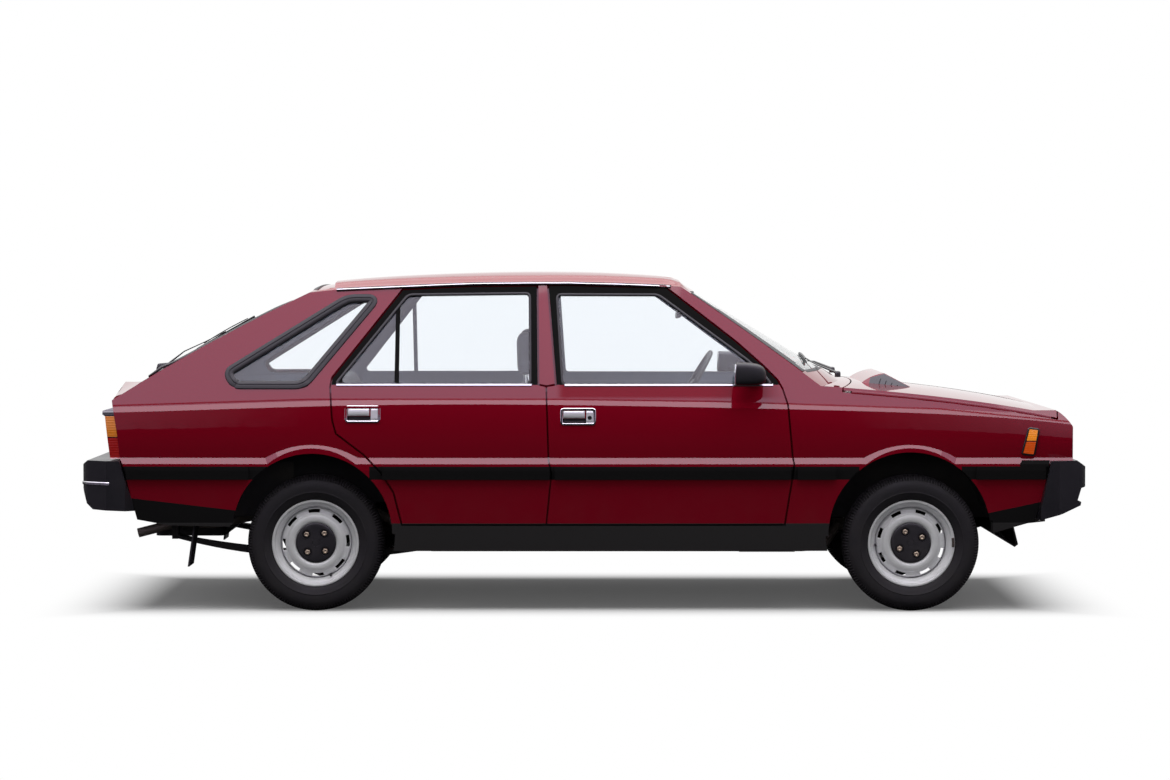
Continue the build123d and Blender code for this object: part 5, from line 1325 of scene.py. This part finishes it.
def ease(t):
    t = min(1.0, max(0.0, t))
    return t * t * (3 - 2 * t)


for corner in work.verts:
    x, y, z = corner.co
    if corner.normal.z > 0.3 and z > 1.30:
        across = ease(abs(y) / 0.46) * ease((0.587 - abs(y)) / 0.062)
        corner.co.z += ROOF_LIFT * across * ease((x + 1.30) / 0.16) * ease((0.465 - x) / 0.12)
skin = bpy.data.meshes.new("roof_skin")
work.to_mesh(skin)
work.free()
roof = bpy.data.objects.new("roof_skin", skin)
bpy.context.scene.collection.objects.link(roof)
skin.materials.append(body_paint)
skin.polygons.foreach_set("use_smooth", [True] * len(skin.polygons))
skin.set_sharp_from_angle(angle=math.radians(35))
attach(roof, "body")
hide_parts("roof_panel")
print("roof with", len(skin.polygons), "faces")

# %% [markdown]
# ## Windscreen and rear window seals
# Both screens sit in wide rubber seals. The windscreen's outline is drawn as seen from the front and thrown
# backwards on the glass, and the rear window's is drawn in plan and dropped on the tailgate from above.

# %% Screen seals
FRONT_TREE = ray_tree(["fixed_windows", "side_frame_left", "side_frame_right", "cowl_panel", "roof_panel"])
BACK_TREE = ray_tree(["rear_window", "tailgate"])


def thrown(outline, tree_, start, direction, step=0.03):
    """Throws a closed outline of 3-D points along a direction on a surface."""
    path = []
    for i, a in enumerate(outline):
        b = outline[(i + 1) % len(outline)]
        a, b = Vector(a), Vector(b)
        count = max(1, int((b - a).length / step))
        for k in range(count):
            point = a.lerp(b, k / count)
            hit, _, _, _ = tree_.ray_cast(point + Vector(start), Vector(direction))
            if hit is not None:
                path.append(tuple(hit))
    return path


def surface_out(tree_, guess):
    def direction(point):
        _, normal, _, _ = tree_.find_nearest(point)
        return normal if normal.dot(Vector(guess)) > 0.2 else Vector(guess)
    return direction


SEAL = [(-0.013, -0.006), (-0.013, 0.0015), (-0.009, 0.0040), (0.006, 0.0045), (0.010, 0.0030), (0.013, -0.001),
        (0.013, -0.006)]
screen = rounded([(0, 0.664, 1.008), (0, 0.548, 1.344), (0, -0.548, 1.344), (0, -0.664, 1.008)], 0.05, 8)
sweep("windscreen_seal", thrown(screen, FRONT_TREE, (2.0, 0, 0), (-1, 0, 0)), SEAL,
      surface_out(FRONT_TREE, (0.6, 0, 0.8)), gasket_rubber, "body")
# the seal is broader over the pillars, which it covers up to their side edge
PILLAR_FOOT_Z, PILLAR_RISE, PILLAR_STEPS = 1.012, 0.326, 24
SCREEN_FOOT_Y, SCREEN_FOOT_Z, SCREEN_LEAN, PAST_SCREEN = 0.664, 1.008, 0.345, 0.0265
for side_name, side in (("left", 1), ("right", -1)):
    pillar = []
    for k in range(PILLAR_STEPS + 1):
        z = PILLAR_FOOT_Z + PILLAR_RISE * k / PILLAR_STEPS
        y = side * (SCREEN_FOOT_Y - (z - SCREEN_FOOT_Z) * SCREEN_LEAN + PAST_SCREEN)
        hit, _, _, _ = FRONT_TREE.ray_cast(Vector((2.0, y, z)), Vector((-1, 0, 0)))
        pillar.append(tuple(hit))
    sweep(f"pillar_seal_{side_name}", pillar, [(-0.024, -0.004), (-0.024, 0.0015), (-0.018, 0.0035), (0.018, 0.0035),
                                               (0.024, 0.0015), (0.024, -0.004)],
          surface_out(FRONT_TREE, (0.6, 0.1 * side, 0.8)), gasket_rubber, "body", False)
back = rounded([(-1.150, 0.505, 0), (-1.840, 0.630, 0), (-1.840, -0.630, 0), (-1.150, -0.505, 0)], 0.05, 8)
LEVELLING_PASSES = 12
seat = thrown(back, BACK_TREE, (0, 0, 2.5), (0, 0, -1))
# where a ray fell into the gap round the glass, the seal is lifted to the line of its neighbours
for _ in range(LEVELLING_PASSES):
    seat = [(x, y, max(z, (seat[i - 1][2] + seat[(i + 1) % len(seat)][2]) / 2)) for i, (x, y, z) in enumerate(seat)]
sweep("rear_window_seal_tailgate", seat, SEAL, lambda point: (-0.463, 0.29 * point.y, 0.886), gasket_rubber, "tailgate")
print("two screen seals")

# %% [markdown]
# ## Scoop, bonnet bead and rear wiper
# The bonnet's air scoop has black louvres in each flank. A bead of paint-coloured sealer closes the line of sight
# into the gap between bonnet and wing. The tailgate wiper has its spindle below the window.

# %% Scoop flanks
for side_name, side in (("left", 1), ("right", -1)):
    def flank(x, z, out=0.0):
        return (x, side * (0.332 - (z - 0.935) * 34 / 57 + out), z)

    outline = [(1.238, 0.9715), (1.299, 0.9875), (1.406, 0.9325), (1.406, 0.912), (1.222, 0.912)]
    verts = [flank(x, z, 0.0004) for x, z in outline] + [flank(x, z, 0.0022) for x, z in outline]
    count = len(outline)
    faces = [tuple(range(count)), tuple(range(count, 2 * count))] + [
        (k, (k + 1) % count, count + (k + 1) % count, count + k) for k in range(count)]
    piece(f"scoop_flank_{side_name}", verts, faces, satin_black, "bonnet", bevel=0.0006)
    for k in range(5):
        x = 1.262 + k * 0.024
        bar = [flank(x, 0.916, 0.0022), flank(x + 0.020, 0.968 - k * 0.009, 0.0022),
               flank(x + 0.0235, 0.968 - k * 0.0095, 0.0022), flank(x + 0.0035, 0.916, 0.0022),
               flank(x, 0.916, 0.0060), flank(x + 0.020, 0.966 - k * 0.009, 0.0060)]
        piece(f"scoop_louvre_{side_name}_{k}", bar, [(0, 1, 2, 3), (0, 1, 5, 4), (4, 5, 2, 3), (0, 4, 3), (1, 2, 5)],
              moulded_black, "bonnet")

# %% Beads along the bonnet
bonnet_tree, wing_tree = ray_tree(["bonnet"]), ray_tree(["front_wing_left"])
BEAD_START_X, BEAD_LENGTH, BEAD_STEPS, BEAD_OUT = 1.12, 0.835, 45, 0.0036
bead = []
for k in range(BEAD_STEPS + 1):
    x = BEAD_START_X + BEAD_LENGTH * k / BEAD_STEPS
    lid = [(y, hit.z) for y in [0.70 + 0.001 * i for i in range(80)]
           if (hit := bonnet_tree.ray_cast(Vector((x, y, 2)), Vector((0, 0, -1)))[0]) is not None]
    ledge = wing_tree.ray_cast(Vector((x, lid[-1][0] + BEAD_OUT, 2)), Vector((0, 0, -1)))[0]
    bead.append((x, lid[-1][0] + BEAD_OUT, ledge.z))
for side_name, side in (("left", 1), ("right", -1)):
    sweep(f"bonnet_bead_{side_name}", [(x, side * y, z) for x, y, z in bead],
          [(-0.0014, -0.002), (-0.0014, 0.0088), (0.0, 0.0100), (0.0014, 0.0088), (0.0018, -0.002)],
          (0, 0, 1), body_paint,
          "body", False, smooth=60)
print("scoop flanks and two beads")

# %% Rear wiper
def on_back(x, y, lift):
    hit, _, _, _ = BACK_TREE.ray_cast(Vector((x, y, 2.5)), Vector((0, 0, -1)))
    return (x, y, (hit.z if hit is not None else 1.0) + lift)


def back_wiper():
    base, elbow = on_back(-1.870, 0.05, 0.022), on_back(-1.78, 0.045, 0.048)
    a, b = on_back(-1.730, 0.10, 0.030), on_back(-1.455, -0.06, 0.028)
    wiper("rear_wiper", base, elbow, a, b, "tailgate", up=(-0.4, 0, 0.9))
    cap = [(base[0] + dx, base[1] + dy, base[2] + dz) for dx, dy, dz in
           ((-0.035, -0.022, -0.012), (-0.035, 0.022, -0.012), (0.045, 0.018, -0.004), (0.045, -0.018, -0.004),
            (-0.028, -0.016, 0.014), (-0.028, 0.016, 0.014), (0.040, 0.012, 0.020), (0.040, -0.012, 0.020))]
    piece("rear_wiper_base", cap, [(0, 1, 2, 3), (4, 5, 6, 7), (0, 1, 5, 4), (1, 2, 6, 5), (2, 3, 7, 6), (3, 0, 4, 7)],
          moulded_black, "tailgate", bevel=0.004)


back_wiper()
print("rear wiper")

# %% [markdown]
# ## Steering wheel and inner mirror
# The wheel has a round grip, two broad spokes and a padded boss. Its column leans back, so the ring is built in
# the wheel's own plane and then turned. The inner mirror hangs from the top of the windscreen.

# %% Steering wheel
WHEEL_CENTRE = Vector((0.480, 0.358, 0.900))
ALONG = Vector((math.cos(math.radians(30)), 0, -math.sin(math.radians(30))))
ACROSS = Vector((0, 1, 0))
UPWARD = ACROSS.cross(ALONG) * -1 if ACROSS.cross(ALONG).z < 0 else ACROSS.cross(ALONG)


def in_wheel(a, u, depth):
    return tuple(WHEEL_CENTRE + ACROSS * a + UPWARD * u + ALONG * depth)


verts, faces = [], []
around, tube = 72, 12
for i in range(around):
    turn_ = 2 * math.pi * i / around
    for j in range(tube):
        roll = 2 * math.pi * j / tube
        radius = 0.1845 + 0.0115 * math.cos(roll) * (1 + 0.04 * math.sin(18 * turn_))
        verts.append(in_wheel(radius * math.cos(turn_), radius * math.sin(turn_), 0.0115 * math.sin(roll)))
for i in range(around):
    for j in range(tube):
        faces.append((i * tube + j, i * tube + (j + 1) % tube, ((i + 1) % around) * tube + (j + 1) % tube,
                      ((i + 1) % around) * tube + j))
piece("steering_rim", verts, faces, moulded_black, "steering_wheel", smooth=180, replaces=("steering_wheel",))
for k, sign in enumerate((1, -1)):
    rings = [[in_wheel(sign * a, w0, d0), in_wheel(sign * a, w0, d1), in_wheel(sign * a, w1, d1),
              in_wheel(sign * a, w1, d0)]
             for a, w0, w1, d0, d1 in ((0.020, -0.045, 0.030, 0.004, 0.020), (0.080, -0.034, 0.018, 0.000, 0.012),
                                       (0.140, -0.026, 0.010, -0.004, 0.006), (0.178, -0.022, 0.012, -0.004, 0.004))]
    ringed(f"steering_spoke_{k}", rings, moulded_black, "steering_wheel", 1)
boss = [[in_wheel(s * math.cos(a) * 0.062, s * math.sin(a) * 0.050, d) for a in
         [2 * math.pi * (n + 0.5) / 8 for n in range(8)]] for s, d in
        ((0.75, 0.044), (0.9, 0.040), (1.0, 0.020), (1.0, 0.002), (0.92, -0.008), (0.7, -0.011))]
ringed("steering_boss", boss, moulded_black, "steering_wheel", 1)

# %% Inner mirror
rings = [box_ring(x, -0.115 + s, 0.115 - s, 1.222 + s, 1.276 - s, 0.1, 0.25)
         for x, s in ((0.404, 0.003), (0.402, 0.0), (0.410, 0.0), (0.424, 0.004), (0.430, 0.012))]
ringed("inner_mirror", rings, moulded_black, "body", 1)
rod("inner_mirror_stalk", [(0.425, 0, 1.262), (0.435, 0, 1.290), (0.420, 0, 1.335), (0.395, 0, 1.352)],
    [0.010, 0.009, 0.009, 0.016], [0.010, 0.009, 0.009, 0.012], moulded_black, "body", up=(1, 0, 0.2))
print("steering wheel and inner mirror")

# %% [markdown]
# ## Seats
# Seats are stuffed, so each pad starts as a slightly small block with round edges. It is remeshed to even
# squares, and Blender's cloth is blown up from inside with gravity off, for twenty frames. The swelling of each
# point is capped, the sewn channels are pressed in afterwards, and one level of subdivision smooths the cloth.
# The right seat is a copy of the left one.


# %% Stuffed pads
def pad_block(low, high, shear=0.0, round_edge=0.028):
    """A block with rounded edges. shear leans it backwards over its height."""
    work = bmesh.new()
    bmesh.ops.create_cube(work, size=1.0)
    for corner in work.verts:
        t = corner.co.z + 0.5
        corner.co = Vector((low[0] + (high[0] - low[0]) * (corner.co.x + 0.5) + shear * t,
                            low[1] + (high[1] - low[1]) * (corner.co.y + 0.5), low[2] + (high[2] - low[2]) * t))
    bmesh.ops.bevel(work, geom=work.edges[:], offset=round_edge, segments=4, profile=0.6, affect="EDGES")
    mesh = bpy.data.meshes.new("pad_block")
    work.to_mesh(mesh)
    work.free()
    return mesh


def stuffed(name, mesh, finish, voxel=0.013, cap=0.014, channels=None, copies=(), replaces=()):
    """Remeshes and inflates a block, then presses in its channels. channels moves a point of the pad."""
    rough = bpy.data.objects.new(name + "_rough", mesh)
    bpy.context.scene.collection.objects.link(rough)
    remesh = rough.modifiers.new("even", "REMESH")
    remesh.mode, remesh.voxel_size = "VOXEL", voxel
    even = bpy.data.meshes.new_from_object(rough.evaluated_get(bpy.context.evaluated_depsgraph_get()))
    bpy.data.objects.remove(rough)
    start = [corner.co.copy() for corner in even.vertices]
    soft = bpy.data.objects.new(name + "_soft", even)
    bpy.context.scene.collection.objects.link(soft)
    cloth = soft.modifiers.new("air", "CLOTH")
    cloth.settings.quality, cloth.settings.mass = 4, 0.25
    cloth.settings.use_pressure, cloth.settings.uniform_pressure_force = True, 4.0
    cloth.settings.effector_weights.gravity = 0.0
    cloth.point_cache.frame_end = 20
    for frame_number in range(1, 21):
        bpy.context.scene.frame_set(frame_number)
    swollen = bpy.data.meshes.new_from_object(soft.evaluated_get(bpy.context.evaluated_depsgraph_get()))
    ends_ = [corner.co.copy() for corner in swollen.vertices]
    bpy.context.scene.frame_set(1)
    bpy.data.objects.remove(soft)
    for corner, a, b in zip(even.vertices, start, ends_):
        move = b - a
        if move.length > cap:
            move *= cap / move.length
        corner.co = a + move
    if channels:
        for corner in even.vertices:
            corner.co = channels(corner.co.copy())
    made = []
    for label, mirrored in ((name, False),) + tuple((copy_, True) for copy_ in copies):
        skin_ = even if not mirrored else even.copy()
        if mirrored:
            skin_.transform(Matrix.Scale(-1, 4, (0, 1, 0)))
            skin_.flip_normals()
        skin_.materials.clear()
        skin_.materials.append(finish)
        skin_.polygons.foreach_set("use_smooth", [True] * len(skin_.polygons))
        pad = bpy.data.objects.new(label, skin_)
        bpy.context.scene.collection.objects.link(pad)
        smooth_ = pad.modifiers.new("smooth", "SUBSURF")
        smooth_.levels = smooth_.render_levels = 1
        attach(pad, "body")
        made.append(pad)
    if replaces:
        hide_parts(*replaces)
    return made


def groove(distance, width, depth):
    """How deep a sewn channel is at this distance from its line."""
    return depth * math.exp(-(distance / width) ** 2)


SEAT_Y = 0.358


def cushion_channels(p):
    if p.z > 0.40:
        side_seam = groove(abs(abs(p.y - SEAT_Y) - 0.135), 0.010, 0.010)
        ribs = sum(groove(p.x - x, 0.008, 0.006) for x in (-0.06, 0.02, 0.10, 0.18)) * (abs(p.y - SEAT_Y) < 0.135)
        p.z -= max(side_seam, ribs)
        p.z += 0.010 * ease((abs(p.y - SEAT_Y) - 0.14) / 0.05) - 0.004
    return p


def back_channels(p):
    face_x = -0.130 - 0.09 * (p.z - 0.46) / 0.49
    if p.x > face_x - 0.045:
        side_seam = groove(abs(abs(p.y - SEAT_Y) - 0.125), 0.010, 0.010)
        ribs = sum(groove(p.z - z, 0.008, 0.006) for z in (0.60, 0.68, 0.76, 0.84)) * (abs(p.y - SEAT_Y) < 0.125)
        p.x -= max(side_seam, ribs)
    return p


stuffed("front_cushion_left", pad_block((-0.178, 0.150, 0.344), (0.268, 0.566, 0.448)), seat_cloth,
        channels=cushion_channels, copies=("front_cushion_right",), replaces=("front_seats",))
stuffed("front_back_left", pad_block((-0.228, 0.160, 0.475), (-0.142, 0.556, 0.938), shear=-0.072), seat_cloth,
        channels=back_channels, copies=("front_back_right",))
stuffed("front_headrest_left", pad_block((-0.280, 0.245, 0.985), (-0.228, 0.471, 1.168), shear=-0.006,
                                             round_edge=0.020),
        seat_cloth, voxel=0.010, cap=0.007, copies=("front_headrest_right",))


def rear_cushion_channels(p):
    if p.z > 0.53:
        p.z -= groove(abs(p.y) - 0.02, 0.012, 0.008) + groove(p.x + 0.68, 0.010, 0.006)
    return p


def rear_back_channels(p):
    p.x -= max(groove(abs(p.y) - z, 0.011, 0.009) for z in (0.02, 0.24)) * (p.x > -1.03 - 0.25 * (p.z - 0.78) + 0.0)
    return p


stuffed("rear_cushion", pad_block((-0.965, -0.486, 0.484), (-0.574, 0.486, 0.558)), seat_cloth, voxel=0.016,
        channels=rear_cushion_channels, replaces=("rear_seat",))
stuffed("rear_back", pad_block((-0.995, -0.486, 0.588), (-0.925, 0.486, 0.982), shear=-0.128), seat_cloth, voxel=0.016,
        channels=rear_back_channels)
print("seats stuffed")

# %% [markdown]
# The seats stand on runners and their headrests on two bright rods. The front seats have a plastic side cover
# beside the cushion.

# %% Seat fittings
for side_name, side in (("left", 1), ("right", -1)):
    for k, offset in enumerate((-0.055, 0.055)):
        y = side * (SEAT_Y + offset)
        rod(f"headrest_rod_{side_name}_{k}", [(-0.250, y, 0.925), (-0.256, y, 0.955), (-0.257, y, 0.995)], [0.010] * 3,
            [0.010] * 3, bright_metal, "body", up=(1, 0, 0))
    for k, offset in enumerate((-0.185, 0.185)):
        y = side * (SEAT_Y + offset)
        rod(f"seat_runner_{side_name}_{k}", [(-0.148, y, 0.3125), (0.0, y, 0.3125), (0.228, y, 0.3125)], [0.030] * 3,
            [0.040] * 3, satin_black, "body", bevel=0.004)
    y = side * (SEAT_Y + 0.214)
    cover = [(x, y + s, z) for s in (-0.003, 0.003) for x, z in
             ((-0.20, 0.345), (0.15, 0.345), (0.19, 0.375), (0.14, 0.405), (-0.14, 0.415), (-0.20, 0.470))]
    piece(f"seat_cover_{side_name}", cover, [(0, 1, 2, 3, 4, 5), (6, 7, 8, 9, 10, 11)] +
          [(k, (k + 1) % 6, 6 + (k + 1) % 6, 6 + k) for k in range(6)], seat_plastic, "body", bevel=0.0025)
    y = side * 0.5345
    splash = [(x, y + s, z) for s in (-0.001, 0.001) for x, z in
              ((-1.660, 0.375), (-1.330, 0.395), (-1.240, 0.520), (-1.240, 0.62), (-1.660, 0.62))]
    piece(f"splash_panel_{side_name}", splash, [(0, 1, 2, 3, 4), (5, 6, 7, 8, 9)] +
          [(k, (k + 1) % 5, 5 + (k + 1) % 5, 5 + k) for k in range(5)], floor_coating, "body")
print("runners, rods, covers and splash panels")
